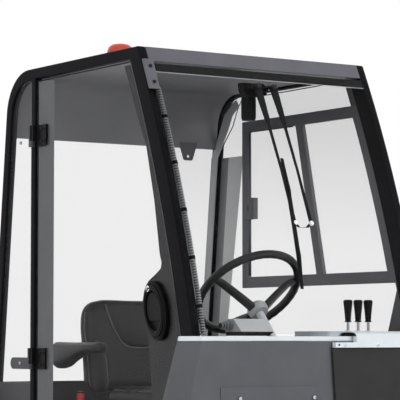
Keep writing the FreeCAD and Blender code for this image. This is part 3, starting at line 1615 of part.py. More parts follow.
def tipping_barrels():
    foot, head, along = cylinder_line()
    length = (head - foot).Length
    tube = rod(foot + along * barrel_start, foot + along * (length - barrel_end_gap),
               barrel_radius)
    side = Vector(eye_half_width, 0, 0)
    eye = rod(foot - side, foot + side, eye_radius)
    reach = Vector(overrun, 0, 0)
    bore = rod(foot - reach, foot + reach, eye_pin_radius + running_gap)
    rod_bore = rod(foot + along * rod_bore_start, head, rod_radius + running_gap)
    return pair(joined([tube, eye]).cut(bore).cut(rod_bore))


def tipping_rods():
    foot, head, along = cylinder_line()
    shaft = rod(foot + along * rod_inner_start, head, rod_radius)
    side = Vector(eye_half_width, 0, 0)
    eye = rod(head - side, head + side, eye_radius)
    return pair(joined([shaft, eye]))


def beacon():
    """Low orange dome on a flanged base."""
    base = place(-beacon_back, roof_height - roof_drop + rest_gap, beacon_x)
    outline = [(beacon_radius * out, beacon_height * up)
               for out, up in zip(beacon_radius_shares, beacon_height_shares)]
    return turned(outline, base, Vector(0, 0, 1), Vector(1, 0, 0), beacon_facet_count)


def wiper_plane(height):
    """Forward value of a line just in front of the windscreen at a height."""
    return pillar_line(height) + wiper_stand_off


def wiper_spindles():
    return [wiper_spindle_x + index * wiper_spindle_spacing for index in range(2)]


def wiper():
    """Two flat arms, a link and the blade, parked near the middle, with the motor inside."""
    pieces = []
    ends = []
    across = Vector(1, 0, 0)
    width, thickness = wiper_arm_width, wiper_arm_thickness
    depth = wiper_stand_off + wiper_motor_depth
    for x in wiper_spindles():
        top = place(wiper_plane(wiper_spindle_height), wiper_spindle_height, x)
        low_height = wiper_spindle_height - wiper_arm_length
        low = place(wiper_plane(low_height), low_height, x + wiper_arm_length * wiper_lean)
        pieces.append(strap(top, low, across, width, width, thickness))
        pieces.append(rod(top - Vector(0, thickness * 2, 0), top + Vector(0, depth, 0),
                          wiper_spindle_radius))
        ends.append(low)
    first, last = wiper_spindles()
    back = wiper_plane(wiper_spindle_height) - depth
    pieces.append(block(first - wiper_plate_edge, last + wiper_plate_edge,
                        back - wiper_plate_thickness / 2, back + wiper_plate_thickness / 2,
                        wiper_spindle_height - wiper_plate_height / 2,
                        wiper_spindle_height + wiper_plate_height / 2))
    motor_top = place(back - wiper_motor_radius, wiper_spindle_height - wiper_spindle_radius, first)
    pieces.append(rod(motor_top, motor_top - Vector(0, 0, wiper_motor_length),
                      wiper_motor_radius))
    middle_height = wiper_spindle_height - wiper_arm_length
    middle = place(wiper_plane(middle_height), middle_height, wiper_blade_x)
    pieces.append(strap(middle, ends[1], Vector(0, 0, 1), width, width, thickness))
    half = wiper_blade_length / 2
    for offset in (half, -half):
        height = middle_height + offset
        tip = place(wiper_plane(height) - wiper_blade_width / 2, height,
                    wiper_blade_x + offset * wiper_blade_lean)
        pieces.append(strap(middle, tip, across, width, wiper_blade_width, wiper_blade_width))
    return joined(pieces)


def main():
    os.makedirs("parts", exist_ok=True)
    right_x, left_x = -rear_wheel_x, rear_wheel_x
    front_centre = front_wheel_forward - front_wheel_trail
    save("side_frame_left", side_frame(False))
    save("side_frame_right", mirrored(side_frame(True)))
    save("front_header", front_header())
    save("roof_panel", roof_panel())
    save("windscreen", windscreen())
    save("rear_window", rear_window())
    save("lower_panels", lower_panels())
    save("quarter_glass_right", mirrored(quarter_glass()))
    save("side_glass_left", side_glass())
    save("cab_fittings", cab_fittings())
    save("cab_floor", cab_floor())
    save("engine", engine())
    save("chassis_frame", chassis_frame())
    save("rear_arms", pair(rear_arm()))
    save("axle_carriers", pair(axle_carrier()))
    save("front_cowl", front_cowl())
    save("cowl_lid", cowl_lid())
    save("cowl_hatch", cowl_hatch())
    save("front_panel", front_panel())
    save("lever_console", lever_console())
    save("levers", levers())
    save("steering_wheel", steering_wheel())
    save("steering_column", steering_column())
    save("brake_lever", brake_lever())
    save("seat_base", seat_base())
    save("seat_cushion", seat_cushion())
    save("seat_backrest", seat_backrest())
    save("armrests", armrests())
    save("bumper", bumper())
    save("head_lamps", head_lamps())
    save("side_covers", side_covers())
    save("rear_fenders", pair(fender()))
    save("brush_tunnel", brush_tunnel())
    save("main_brush", main_brush())
    save("front_fork", front_fork())
    save("front_tyre", tyre(0.0, front_centre))
    save("front_rim", rim(0.0, front_centre))
    save("rear_tyre_right", tyre(right_x, -rear_wheel_back))
    save("rear_rim_right", rim(right_x, -rear_wheel_back, -1))
    save("rear_tyre_left", tyre(left_x, -rear_wheel_back))
    save("rear_rim_left", rim(left_x, -rear_wheel_back))
    arm = side_arm()
    save("side_arm_left", arm)
    save("side_arm_right", mirrored(arm))
    save("side_brush_left", side_brush(1))
    save("side_brush_right", side_brush(-1))
    save("hinge_posts", mirrored(hinge_posts()))
    save("door_glass_right", mirrored(door_glass()))
    save("door_fittings_right", mirrored(door_fittings()))
    save("slider_frame_left", slider_frame())
    save("hopper", hopper())
    save("tailgate", tailgate())
    save("rear_lamps", rear_lamps())
    save("tipping_barrels", tipping_barrels())
    save("tipping_rods", tipping_rods())
    save("beacon", beacon())
    save("wiper", wiper())


main()
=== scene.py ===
import math
import random

import bmesh
import bpy
from mathutils import Matrix, Vector
from mathutils.bvhtree import BVHTree
from mathutils.kdtree import KDTree


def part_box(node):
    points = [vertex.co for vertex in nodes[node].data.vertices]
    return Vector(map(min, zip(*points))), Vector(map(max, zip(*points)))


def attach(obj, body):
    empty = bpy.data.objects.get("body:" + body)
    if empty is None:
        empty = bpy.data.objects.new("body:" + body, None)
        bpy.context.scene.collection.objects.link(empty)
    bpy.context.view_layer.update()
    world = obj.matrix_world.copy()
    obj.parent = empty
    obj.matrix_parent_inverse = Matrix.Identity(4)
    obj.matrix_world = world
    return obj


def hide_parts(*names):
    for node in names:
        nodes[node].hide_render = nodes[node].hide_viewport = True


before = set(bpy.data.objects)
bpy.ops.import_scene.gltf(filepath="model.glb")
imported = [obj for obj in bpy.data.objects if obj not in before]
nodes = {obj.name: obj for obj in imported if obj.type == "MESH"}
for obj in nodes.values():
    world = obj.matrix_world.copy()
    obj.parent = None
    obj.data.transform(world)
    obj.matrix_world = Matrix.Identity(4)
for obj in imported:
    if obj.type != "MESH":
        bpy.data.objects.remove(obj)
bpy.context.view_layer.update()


# Chassis: a ladder of welded rectangular steel tube, with the front fork, the brush arms and the
# cylinder barrels bolted on. It is sand-blasted and sprayed with black two-pack enamel, which
# leaves a fine orange peel and a satin shine.
def linear(colour):
    """An sRGB hex colour as linear red, green, blue and alpha."""
    channels = [int(colour[place:place + 2], 16) / 255.0 for place in (1, 3, 5)]
    return [c / 12.92 if c <= 0.04045 else ((c + 0.055) / 1.055) ** 2.4 for c in channels] + [1.0]


def add(tree, kind, inputs=None, **settings):
    """One node with its settings; an input takes a value or another node's output."""
    made = tree.nodes.new(kind)
    for name, value in settings.items():
        setattr(made, name, value)
    for socket, value in (inputs or {}).items():
        if isinstance(value, bpy.types.NodeSocket):
            tree.links.new(value, made.inputs[socket])
        else:
            made.inputs[socket].default_value = value
    return made


def surface(name, roughness, metallic=0.0, gloss=0.2):
    """A new material with its tree, its shader and its coordinates in metres on the piece."""
    material = bpy.data.materials.new(name)
    material.use_nodes = True
    tree = material.node_tree
    shader = tree.nodes["Principled BSDF"]
    shader.inputs["Roughness"].default_value = roughness
    shader.inputs["Metallic"].default_value = metallic
    shader.inputs["Specular IOR Level"].default_value = gloss
    return material, tree, shader, add(tree, "ShaderNodeTexCoord").outputs["Object"]


def per_metre(size):
    """How many repeats of a pattern of that many millimetres go in a metre."""
    return 1000.0 / size


def tones(tree, shader, where, dark, light, patch):
    """Two close tones of one colour that drift over patches of that many millimetres."""
    noise = add(tree, "ShaderNodeTexNoise",
                {"Vector": where, "Scale": per_metre(patch), "Detail": 4.0, "Roughness": 0.6})
    spread = add(tree, "ShaderNodeMapRange",
                 {"Value": noise.outputs["Fac"], "From Min": 0.3, "From Max": 0.7})
    mix = add(tree, "ShaderNodeMix",
              {0: spread.outputs["Result"], 6: linear(dark), 7: linear(light)}, data_type="RGBA")
    tree.links.new(mix.outputs[2], shader.inputs["Base Color"])
    return mix.outputs[2]


def grain(tree, shader, where, size, depth, strength, kind="ShaderNodeTexNoise"):
    """A raised grain of that many millimetres, with edges that read as slightly rounded."""
    pattern = add(tree, kind, {"Vector": where, "Scale": per_metre(size)})
    edge = add(tree, "ShaderNodeBevel", {"Radius": 0.002}, samples=4)
    bump = add(tree, "ShaderNodeBump",
               {"Height": pattern.outputs[0], "Strength": strength, "Distance": depth / 1000.0,
                "Normal": edge.outputs["Normal"]})
    tree.links.new(bump.outputs["Normal"], shader.inputs["Normal"])


def worn_edges(tree, shader, colour, bare, radius, amount):
    """Lets a paler tone through along sharp edges, as handling and gravel do."""
    edge = add(tree, "ShaderNodeBevel", {"Radius": radius / 1000.0}, samples=4)
    flat = add(tree, "ShaderNodeNewGeometry").outputs["Normal"]
    match = add(tree, "ShaderNodeVectorMath",
                {0: edge.outputs["Normal"], 1: flat}, operation="DOT_PRODUCT")
    share = add(tree, "ShaderNodeMapRange",
                {"Value": match.outputs["Value"], "From Min": 0.985, "From Max": 0.88,
                 "To Max": amount})
    mix = add(tree, "ShaderNodeMix",
              {0: share.outputs["Result"], 6: colour, 7: linear(bare)}, data_type="RGBA")
    tree.links.new(mix.outputs[2], shader.inputs["Base Color"])


def sprayed_enamel(name, dark, light, bare, roughness, gloss=0.2):
    """Enamel or powder coat: a slow drift of tone, orange peel, and worn edges."""
    material, tree, shader, where = surface(name, roughness, gloss=gloss)
    colour = tones(tree, shader, where, dark, light, 240.0)
    worn_edges(tree, shader, colour, bare, 3.0, 0.55)
    # Real orange peel is 1 to 2 mm across, drawn at 5 mm so that it shows.
    grain(tree, shader, where, 5.0, 0.15, 0.25)
    return material


def dress(names, material, soften=0.0, smooth=0.0):
    """Gives carried-over pieces their material, and edges rounded by that many millimetres, or
    shaded smooth below that angle."""
    for name in names:
        piece = nodes[name]
        piece.data.materials.clear()
        piece.data.materials.append(material)
        if not soften and not smooth:
            continue
        for layer in ("custom_normal", "sharp_edge", "sharp_face"):
            if layer in piece.data.attributes:
                piece.data.attributes.remove(piece.data.attributes[layer])
        piece.data.shade_smooth()
        piece.modifiers.new("weld", "WELD").merge_threshold = 0.00002
        if smooth:
            piece.modifiers.new("creases", "EDGE_SPLIT").split_angle = math.radians(smooth)
            continue
        edges = piece.modifiers.new("edges", "BEVEL")
        edges.width = soften / 1000.0
        edges.segments = 2
        edges.limit_method = "ANGLE"
        edges.angle_limit = math.radians(35.0)
        edges.miter_outer = "MITER_ARC"
        piece.modifiers.new("shade", "WEIGHTED_NORMAL")


chassis_enamel = sprayed_enamel("black_chassis_enamel", "#151518", "#1f1f23", "#4d4d52", 0.42)
dress(["chassis_frame", "rear_arms", "axle_carriers", "front_fork", "side_arm_left",
       "side_arm_right", "tipping_barrels"], chassis_enamel, 2.0)


def turns(count):
    """Evenly spaced angles round a full circle."""
    return [2.0 * math.pi * step / count for step in range(count)]


def turned(profile, centre, axis, steps=48):
    """A mesh turned about an axis through a centre, from (radius, distance along) points."""
    facing = Vector(axis).to_track_quat("Z", "Y").to_matrix()
    mesh = bmesh.new()
    rings = []
    for radius, along in profile:
        angles = [0.0] if radius < 1e-6 else turns(steps)
        rings.append([mesh.verts.new(Vector(centre) + facing @ Vector(
            (radius * math.cos(turn), radius * math.sin(turn), along))) for turn in angles])
    for lower, upper in zip(rings, rings[1:]):
        for index in range(steps):
            following = (index + 1) % steps
            corners = []
            for ring, place in ((lower, index), (lower, following), (upper, following),
                                (upper, index)):
                corner = ring[place % len(ring)]
                if corner not in corners:
                    corners.append(corner)
            if len(corners) > 2:
                mesh.faces.new(corners)
    return mesh


def make(name, mesh, material, body, angle=35.0):
    """Turns mesh work into a named piece that rides on a body, smooth below that angle."""
    bmesh.ops.recalc_face_normals(mesh, faces=mesh.faces)
    data = bpy.data.meshes.new(name)
    mesh.to_mesh(data)
    mesh.free()
    data.materials.append(material)
    data.shade_smooth()
    data.set_sharp_from_angle(angle=math.radians(angle))
    piece = bpy.data.objects.new(name, data)
    bpy.context.scene.collection.objects.link(piece)
    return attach(piece, body)


def gathered(meshes):
    """Joins several mesh works into one."""
    whole = bmesh.new()
    for mesh in meshes:
        part = bpy.data.meshes.new("part")
        mesh.to_mesh(part)
        mesh.free()
        whole.from_mesh(part)
        bpy.data.meshes.remove(part)
    return whole


# Fixings: zinc-plated hexagon screws with washers, M10 on the chassis and M6 on the panels.
# Zinc plate is a soft bluish grey metal with a slightly cloudy shine.
def zinc_plate():
    """Zinc plate, a bluish grey that clouds in small patches."""
    material, tree, shader, where = surface("zinc_plated_steel", 0.34, 1.0)
    tones(tree, shader, where, "#a9adb3", "#c6c9cd", 6.0)
    return material


plated = zinc_plate()


def hex_screw(place, outward, across):
    """Washer and hexagon head with its chamfer, for a width across flats in metres."""
    washer = turned([(0.0, 0.0), (across * 0.95, 0.0), (across * 0.95, across * 0.1),
                     (0.0, across * 0.1)], place, outward, 20)
    corner = across / math.sqrt(3.0)
    head = turned([(corner, across * 0.1), (corner, across * 0.55),
                   (corner * 0.9, across * 0.66), (0.0, across * 0.66)], place, outward, 6)
    return [washer, head]


def dome_screw(place, outward, across):
    """Button-headed screw with a hexagon socket, for a head width in metres."""
    radius = across / 2.0
    head = turned([(radius, 0.0), (radius, radius * 0.3), (radius * 0.8, radius * 0.7),
                   (radius * 0.5, radius * 0.9)], place, outward, 18)
    socket = turned([(radius * 0.5, radius * 0.9), (radius * 0.42, radius * 0.3),
                     (0.0, radius * 0.3)], place, outward, 6)
    return [head, socket]


def fixings(name, kind, places, outward, across, body, material=None):
    """One piece of like screws at several places, all facing the same way."""
    parts = []
    for place in places:
        parts += kind(Vector(place), Vector(outward), across)
    return make(name, gathered(parts), material or plated, body)


# Wheels: solid rubber tyres, press-moulded with angled lugs, on painted pressed-steel rims held
# by five nuts. The rubber is a dull near-black with a bloom in the hollows, the rims satin silver.
lug_count, lug_depth, lug_share = 30, 0.009, 0.62


def moulded_rubber(name, dark, light, roughness, gloss=0.1):
    """Rubber or foam skin as the mould leaves it: matt, with a faint bloom."""
    material, tree, shader, where = surface(name, roughness, gloss=gloss)
    tones(tree, shader, where, dark, light, 60.0)
    # The skin left by the mould is finer than 1 mm, drawn at 3 mm so that it shows.
    grain(tree, shader, where, 3.0, 0.2, 0.35)
    return material


tyre_rubber = moulded_rubber("moulded_tyre_rubber", "#1b1b1b", "#2a2a29", 0.78)


def tyre(name, node, body):
    """A tyre with sidewall rings and V lugs, the size of the plain solid that it replaces."""
    low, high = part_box(node)
    centre = (low + high) / 2.0
    radius = (high.z - low.z) / 2.0
    half = (high.x - low.x) / 2.0
    bead = radius * 0.59
    flank = [(bead, half * 0.68), (radius * 0.63, half * 0.84), (radius * 0.70, half * 0.93),
             (radius * 0.72, half * 0.955), (radius * 0.74, half * 0.94),
             (radius * 0.84, half * 0.995), (radius * 0.90, half), (radius * 0.935, half * 0.98)]
    tread = [(radius * 0.985, half * 0.84), (radius, half * 0.68), (radius, half * 0.36),
             (radius, 0.03 * half)]
    side = flank + tread
    profile = [(r, -a) for r, a in side] + [(r, a) for r, a in reversed(side)]
    steps = lug_count * 6
    mesh = turned(profile, centre, (1, 0, 0), steps)
    for corner in mesh.verts:
        local = corner.co - centre
        out = math.hypot(local.y, local.z)
        if out > radius * 0.96:
            turn = math.atan2(local.z, local.y) / (2.0 * math.pi) * lug_count
            phase = (turn + abs(local.x) / half * 0.6) % 1.0
            if phase > lug_share:
                scale = (out - lug_depth) / out
                corner.co = centre + Vector((local.x, local.y * scale, local.z * scale))
    made = make(name, mesh, tyre_rubber, body, 28.0)
    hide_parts(node)
    return made


tyre("front_tyre_moulded", "front_tyre", "front_wheel")
tyre("rear_tyre_right_moulded", "rear_tyre_right", "rear_wheel_right")
tyre("rear_tyre_left_moulded", "rear_tyre_left", "rear_wheel_left")

rim_enamel = sprayed_enamel("silver_rim_enamel", "#8f9295", "#a3a6a8", "#c9cbcc", 0.36)
dress(["front_rim", "rear_rim_right", "rear_rim_left"], rim_enamel, 1.5)
nut_circle, nut_across, nut_seat = 0.070, 0.019, 0.007
hub_cap = [(0.034, -0.006), (0.034, 0.004), (0.028, 0.014), (0.012, 0.019), (0.0, 0.019)]
for node, body, sides in (("front_rim", "front_wheel", (-1, 1)),
                          ("rear_rim_right", "rear_wheel_right", (-1,)),
                          ("rear_rim_left", "rear_wheel_left", (1,))):
    rim_low, rim_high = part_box(node)
    hub = (rim_low + rim_high) / 2.0
    parts = []
    for side in sides:
        for turn in turns(5):
            place = hub + Vector((side * nut_seat, nut_circle * math.sin(turn),
                                  nut_circle * math.cos(turn)))
            parts += hex_screw(place, Vector((side, 0, 0)), nut_across)
        if node != "front_rim":
            face = side * (rim_high.x - rim_low.x) / 2.0
            parts.append(turned(hub_cap, hub + Vector((face, 0, 0)), (side, 0, 0), 32))
    make(node + "_nuts", gathered(parts), plated, body)


# Brushes: the main brush is a tube packed with V rows of black nylon, and the two side brushes
# are wooden-backed discs of the same nylon splayed outwards. Each strand is a stiff drawn
# filament, grey where it catches the light.
def drawn_nylon():
    """Black nylon filament, greyer where it is scuffed."""
    material, tree, shader, where = surface("drawn_nylon_bristle", 0.5)
    tones(tree, shader, where, "#22262b", "#4c545c", 9.0)
    shader.inputs["Sheen Weight"].default_value = 0.2
    return material


nylon = drawn_nylon()


def strand(mesh, root, tip, sag, width):
    """One tapered three-sided strand, bent by a sag at its middle."""
    along = (tip - root).normalized()
    across = along.orthogonal().normalized()
    other = along.cross(across)
    rings = []
    for share, thick in ((0.0, 1.0), (0.5, 0.85), (1.0, 0.5)):
        middle = root.lerp(tip, share) + sag * (4.0 * share * (1.0 - share))
        rings.append([mesh.verts.new(middle + (across * math.cos(turn) + other * math.sin(turn))
                                     * width * thick) for turn in turns(3)])
    for lower, upper in zip(rings, rings[1:]):
        for index in range(3):
            following = (index + 1) % 3
            mesh.faces.new((lower[index], lower[following], upper[following], upper[index]))
    mesh.faces.new(rings[-1])


brush_low, brush_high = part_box("main_brush")
brush_middle = (brush_low + brush_high) / 2.0
brush_radius = (brush_high.z - brush_low.z) / 2.0
brush_core, brush_half, shaft_radius, shaft_half = 0.070, 0.405, 0.015, 0.432
row_count, row_twist, tufts_in_row, strand_width = 10, math.radians(50.0), 52, 0.0016
draw = random.Random(7)
mesh = bmesh.new()
for row_turn in turns(row_count):
    for index in range(tufts_in_row):
        share = (index + 0.5) / tufts_in_row * 2.0 - 1.0
        turn = row_turn + row_twist * abs(share)
        for _ in range(6):
            spread = turn + draw.uniform(-0.05, 0.05)
            lean = spread + draw.uniform(-0.04, 0.04)
            x = share * (brush_half - 0.008) + draw.uniform(-0.006, 0.006)
            reach = brush_radius - 0.001 - draw.random() * 0.005
            root = brush_middle + Vector((x, brush_core * math.cos(spread),
                                          brush_core * math.sin(spread)))
            tip = brush_middle + Vector((x, reach * math.cos(lean), reach * math.sin(lean)))
            sag = Vector((draw.uniform(-0.002, 0.002), 0, 0))
            strand(mesh, root, tip, sag, strand_width)
strands = make("main_brush_strands", mesh, nylon, "main_brush")
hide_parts("main_brush")
core = turned([(0.0, -shaft_half), (shaft_radius, -shaft_half), (shaft_radius, -brush_half),
               (brush_core, -brush_half), (brush_core, brush_half), (shaft_radius, brush_half),
               (shaft_radius, shaft_half), (0.0, shaft_half)], brush_middle, (1, 0, 0), 40)
make("main_brush_tube", core, chassis_enamel, "main_brush")


def stained_ply():
    """Birch plywood stained dark, with open pores."""
    material, tree, shader, where = surface("dark_stained_plywood", 0.6)
    tones(tree, shader, where, "#2a2523", "#3b3330", 14.0)
    # The pores of the veneer are under 1 mm, drawn at 6 mm so that they show.
    grain(tree, shader, where, 6.0, 0.3, 0.3)
    return material


brush_back = stained_ply()
tuft_rings, disc_lift, disc_thick = ((0.062, 14), (0.096, 22)), 0.086, 0.020
for side, label in ((-1, "right"), (1, "left")):
    node = "side_brush_" + label
    low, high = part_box(node)
    centre = Vector(((low.x + high.x) / 2.0, (low.y + high.y) / 2.0, 0.0))
    reach = (high.x - low.x) / 2.0
    disc_low = low.z + disc_lift
    mesh = bmesh.new()
    for ring_radius, count in tuft_rings:
        flare = (ring_radius / tuft_rings[-1][0]) ** 2
        for turn in turns(count):
            for _ in range(16):
                bearing = turn + draw.uniform(-0.07, 0.07)
                radius = ring_radius + draw.uniform(-0.007, 0.007)
                out = (reach - 0.012) * (0.62 + 0.34 * flare) + draw.uniform(-0.012, 0.010)
                lean = bearing + draw.uniform(-0.10, 0.10)
                root = centre + Vector((radius * math.cos(bearing), radius * math.sin(bearing),
                                        disc_low))
                tip = centre + Vector((out * math.cos(lean), out * math.sin(lean),
                                       low.z + draw.random() * 0.006))
                sag = Vector((math.cos(bearing), math.sin(bearing), 0.6)) * 0.012
                strand(mesh, root, tip, sag, strand_width)
    strands = make(node + "_strands", mesh, nylon, node)
    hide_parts(node)
    disc = turned([(0.0, 0.0), (0.104, 0.0), (0.110, 0.004), (0.110, 0.016), (0.104, disc_thick),
                   (0.024, disc_thick), (0.024, 0.0565), (0.0, 0.0565)],
                  centre + Vector((0, 0, disc_low)), (0, 0, 1), 44)
    make(node + "_back", disc, brush_back, node)
    fixings(node + "_screws", hex_screw,
            [centre + Vector((0.06 * math.cos(turn + 0.5), 0.06 * math.sin(turn + 0.5),
                              disc_low + disc_thick)) for turn in turns(3)],
            (0, 0, 1), 0.013, node)

tunnel_enamel = sprayed_enamel("black_tunnel_enamel", "#1c1c1f", "#2b2b2e", "#66666a", 0.5)
dress(["brush_tunnel"], tunnel_enamel, 1.0)


# Engine: a cast-iron block under the seat, left as cast, with a dull sandy skin.
def cast_iron():
    """Grey iron with the rough skin of its sand mould."""
    material, tree, shader, where = surface("cast_iron", 0.62, 1.0)
    tones(tree, shader, where, "#55575a", "#6c6e70", 30.0)
    # The marks of the moulding sand are under 1 mm, drawn at 4 mm so that they show.
    grain(tree, shader, where, 4.0, 0.5, 0.6)
    return material


dress(["engine"], cast_iron(), 4.0)


# Side covers, fenders and bumper: blow-moulded black polyethylene with a leathery grain that
# keeps the shine low, and steps with raised cleats for the boot.
def moulded_plastic(name, dark, light, bare, roughness, grain_size, strength, gloss=0.2):
    """Plastic with a moulded leather grain and paler, rubbed edges."""
    material, tree, shader, where = surface(name, roughness, gloss=gloss)
    colour = tones(tree, shader, where, dark, light, 160.0)
    worn_edges(tree, shader, colour, bare, 3.0, 0.5)
    # A moulded grain is about 1 mm across, drawn at 4 or 5 mm so that it shows.
    grain(tree, shader, where, grain_size, 0.25, strength, "ShaderNodeTexVoronoi")
    return material


black_moulding = moulded_plastic("black_grained_polyethylene", "#202022", "#2c2c2e", "#55555a",
                                 0.55, 4.0, 0.3)
dress(["side_covers", "bumper"], black_moulding, 5.0)
dress(["rear_fenders"], black_moulding, 1.5)
cover_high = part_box("side_covers")[1]
step_floor, cleat_rows, cleat_columns = 0.300, 3, 19
row_pitch, column_pitch = 0.018, 0.0195
cleat = Matrix.Diagonal((0.0075, 0.0026, 0.0018, 1.0))
for side, label in ((-1, "right"), (1, "left")):
    mesh = bmesh.new()
    for row in range(cleat_rows):
        for column in range(cleat_columns):
            place = Matrix.Translation((side * (cover_high.x - 0.048 + row * row_pitch),
                                        cover_high.y - 0.310 - column * column_pitch, step_floor))
            turn = math.radians(45.0 if (row + column) % 2 else -45.0)
            bmesh.ops.create_uvsphere(mesh, u_segments=8, v_segments=4, radius=1.0,
                                      matrix=place @ Matrix.Rotation(turn, 4, "Z") @ cleat)
    make("step_cleats_" + label, mesh, black_moulding, "chassis")


# Head lamps: a chromed reflector behind a fluted clear lens, in a black bezel ring.
def clear_glass(name, tint):
    """Clear smooth glass that lets lamps through to what is behind it."""
    material, tree, shader, where = surface(name, 0.0)
    shader.inputs["Base Color"].default_value = linear(tint)
    shader.inputs["Transmission Weight"].default_value = 1.0
    shader.inputs["IOR"].default_value = 1.1
    path = add(tree, "ShaderNodeLightPath")
    through = add(tree, "ShaderNodeBsdfTransparent", {"Color": linear(tint)})
    either = add(tree, "ShaderNodeMath", {0: path.outputs["Is Shadow Ray"],
                                          1: path.outputs["Is Diffuse Ray"]}, operation="MAXIMUM")
    mix = add(tree, "ShaderNodeMixShader", {0: either.outputs[0], 1: shader.outputs[0],
                                            2: through.outputs[0]})
    tree.links.new(mix.outputs[0], tree.nodes["Material Output"].inputs["Surface"])
    return material, tree, shader, where


def fluted(tree, shader, where, pitch, direction, strength):
    """Moulded flutes that many millimetres apart, across one direction."""
    flutes = add(tree, "ShaderNodeTexWave", {"Vector": where, "Scale": per_metre(pitch) / 20.0},
                 bands_direction=direction)
    bump = add(tree, "ShaderNodeBump", {"Height": flutes.outputs["Fac"], "Strength": strength,
                                        "Distance": 0.001})
    tree.links.new(bump.outputs["Normal"], shader.inputs["Normal"])


def plated_chrome():
    """Bright chrome plate over polished steel."""
    material, tree, shader, where = surface("bright_chrome", 0.08, 1.0)
    tones(tree, shader, where, "#c9ccd0", "#d9dbde", 40.0)
    return material


chrome = plated_chrome()
lens_glass, tree, shader, where = clear_glass("fluted_lens_glass", "#f4f7f8")
fluted(tree, shader, where, 9.0, "X", 0.6)
lamp_low, lamp_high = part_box("head_lamps")
lamp_x, lamp_z = 0.430, (lamp_high.z + lamp_low.z) / 2.0
lamp_radius, depth = (lamp_high.z - lamp_low.z) / 2.0, lamp_high.y - lamp_low.y
for side, label in ((-1, "right"), (1, "left")):
    centre = Vector((side * lamp_x, lamp_low.y, lamp_z))
    ring = turned([(lamp_radius * 0.86, 0.010), (lamp_radius * 0.9, 0.0), (lamp_radius, 0.003),
                   (lamp_radius, depth), (lamp_radius * 0.84, depth), (lamp_radius * 0.84, 0.012)],
                  centre, (0, 1, 0), 48)
    bezel = make("head_lamp_bezel_" + label, ring, black_moulding, "chassis")
    reflector = turned([(lamp_radius * 0.84, 0.013), (lamp_radius * 0.62, 0.024),
                        (lamp_radius * 0.34, 0.036), (0.008, 0.042), (0.007, 0.022), (0.0, 0.021)],
                       centre, (0, 1, 0), 48)
    make("head_lamp_reflector_" + label, reflector, chrome, "chassis")
    lens = turned([(0.0, 0.002), (lamp_radius * 0.5, 0.004), (lamp_radius * 0.86, 0.010),
                   (lamp_radius * 0.86, 0.013), (lamp_radius * 0.5, 0.007), (0.0, 0.005)],
                  centre, (0, 1, 0), 48)
    made = make("head_lamp_lens_" + label, lens, lens_glass, "chassis")
    if side > 0:
        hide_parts("head_lamps")


# Hopper, tailgate and cylinders: folded and seam-welded steel sheet in grey enamel, with
# chromed piston rods and moulded red lamp lenses.
hopper_enamel = sprayed_enamel("grey_hopper_enamel", "#5d5f61", "#6a6c6d", "#8f9193", 0.45)
dress(["hopper", "tailgate"], hopper_enamel, 2.5)
dress(["tipping_rods"], chrome)


def moulded_lens(name, dark, light):
    """Coloured acrylic, glossy, with the fluting moulded on its inner side."""
    material, tree, shader, where = surface(name, 0.12)
    tones(tree, shader, where, dark, light, 25.0)
    fluted(tree, shader, where, 6.0, "Z", 0.4)
    shader.inputs["Coat Weight"].default_value = 0.6
    shader.inputs["Coat Roughness"].default_value = 0.04
    return material


dress(["rear_lamps"], moulded_lens("red_acrylic_lens", "#8e1a16", "#b3241d"), 3.0)


# Front cowl: rotationally moulded grey polyethylene, thick, with soft corners and a fine sandy
# mottle, and a black slatted panel let into its left half. The lid and the lever hood are the
# same moulding in a pale grey, fixed with white nylon screws.
cowl_moulding = moulded_plastic("grey_moulded_polyethylene", "#525458", "#5a5c60", "#73757b",
                                0.6, 5.0, 0.15)
pale_moulding = moulded_plastic("pale_moulded_polyethylene", "#ccd4d8", "#d6dde1", "#eef1f3",
                                0.5, 5.0, 0.08)
panel_moulding = moulded_plastic("black_grille_polypropylene", "#29292a", "#313132", "#454547",
                                 0.6, 4.0, 0.2)
fitting_moulding = moulded_plastic("black_fitting_moulding", "#101011", "#161618", "#2f2f32",
                                   0.45, 4.0, 0.15, 0.1)
nylon_white = moulded_plastic("white_nylon_screw", "#e4e6e8", "#eceef0", "#f4f5f6", 0.4, 4.0, 0.05)
dress(["front_cowl"], cowl_moulding, 6.0)
dress(["cowl_lid"], pale_moulding, 3.0)
dress(["lever_console"], pale_moulding, 1.5)
dress(["cowl_hatch"], cowl_moulding, 1.2)
dress(["front_panel"], panel_moulding, 2.0)
cab_edge_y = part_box("side_frame_right")[0].y + 0.360
hood_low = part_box("lever_console")[0]
hatch_low, hatch_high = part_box("cowl_hatch")
panel_low, panel_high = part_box("front_panel")


def at(x, forward, height):
    """A point from its x, its distance ahead of the cab's top front edge, and its height."""
    return Vector((x, cab_edge_y - forward, height))


def lofted(rings, closed=False):
    """A mesh through rings that have as many points each, with flat ends or back to its start."""
    mesh = bmesh.new()
    rows = [[mesh.verts.new(point) for point in ring] for ring in rings]
    for lower, upper in zip(rows, rows[1:] + rows[:1] if closed else rows[1:]):
        for index in range(len(lower)):
            mesh.faces.new((lower[index - 1], lower[index], upper[index], upper[index - 1]))
    if not closed:
        mesh.faces.new(list(reversed(rows[0])))
        mesh.faces.new(rows[-1])
    bmesh.ops.recalc_face_normals(mesh, faces=mesh.faces)
    return mesh


def prism(outline, depth):
    """A flat outline of points, drawn out along a vector into a closed slab."""
    return lofted([outline, [Vector(point) + depth for point in outline]])


def box_at(low, high):
    """A plain box between two corner points."""
    outline = [(low.x, low.y, low.z), (high.x, low.y, low.z), (high.x, high.y, low.z),
               (low.x, high.y, low.z)]
    return prism(outline, Vector((0, 0, high.z - low.z)))


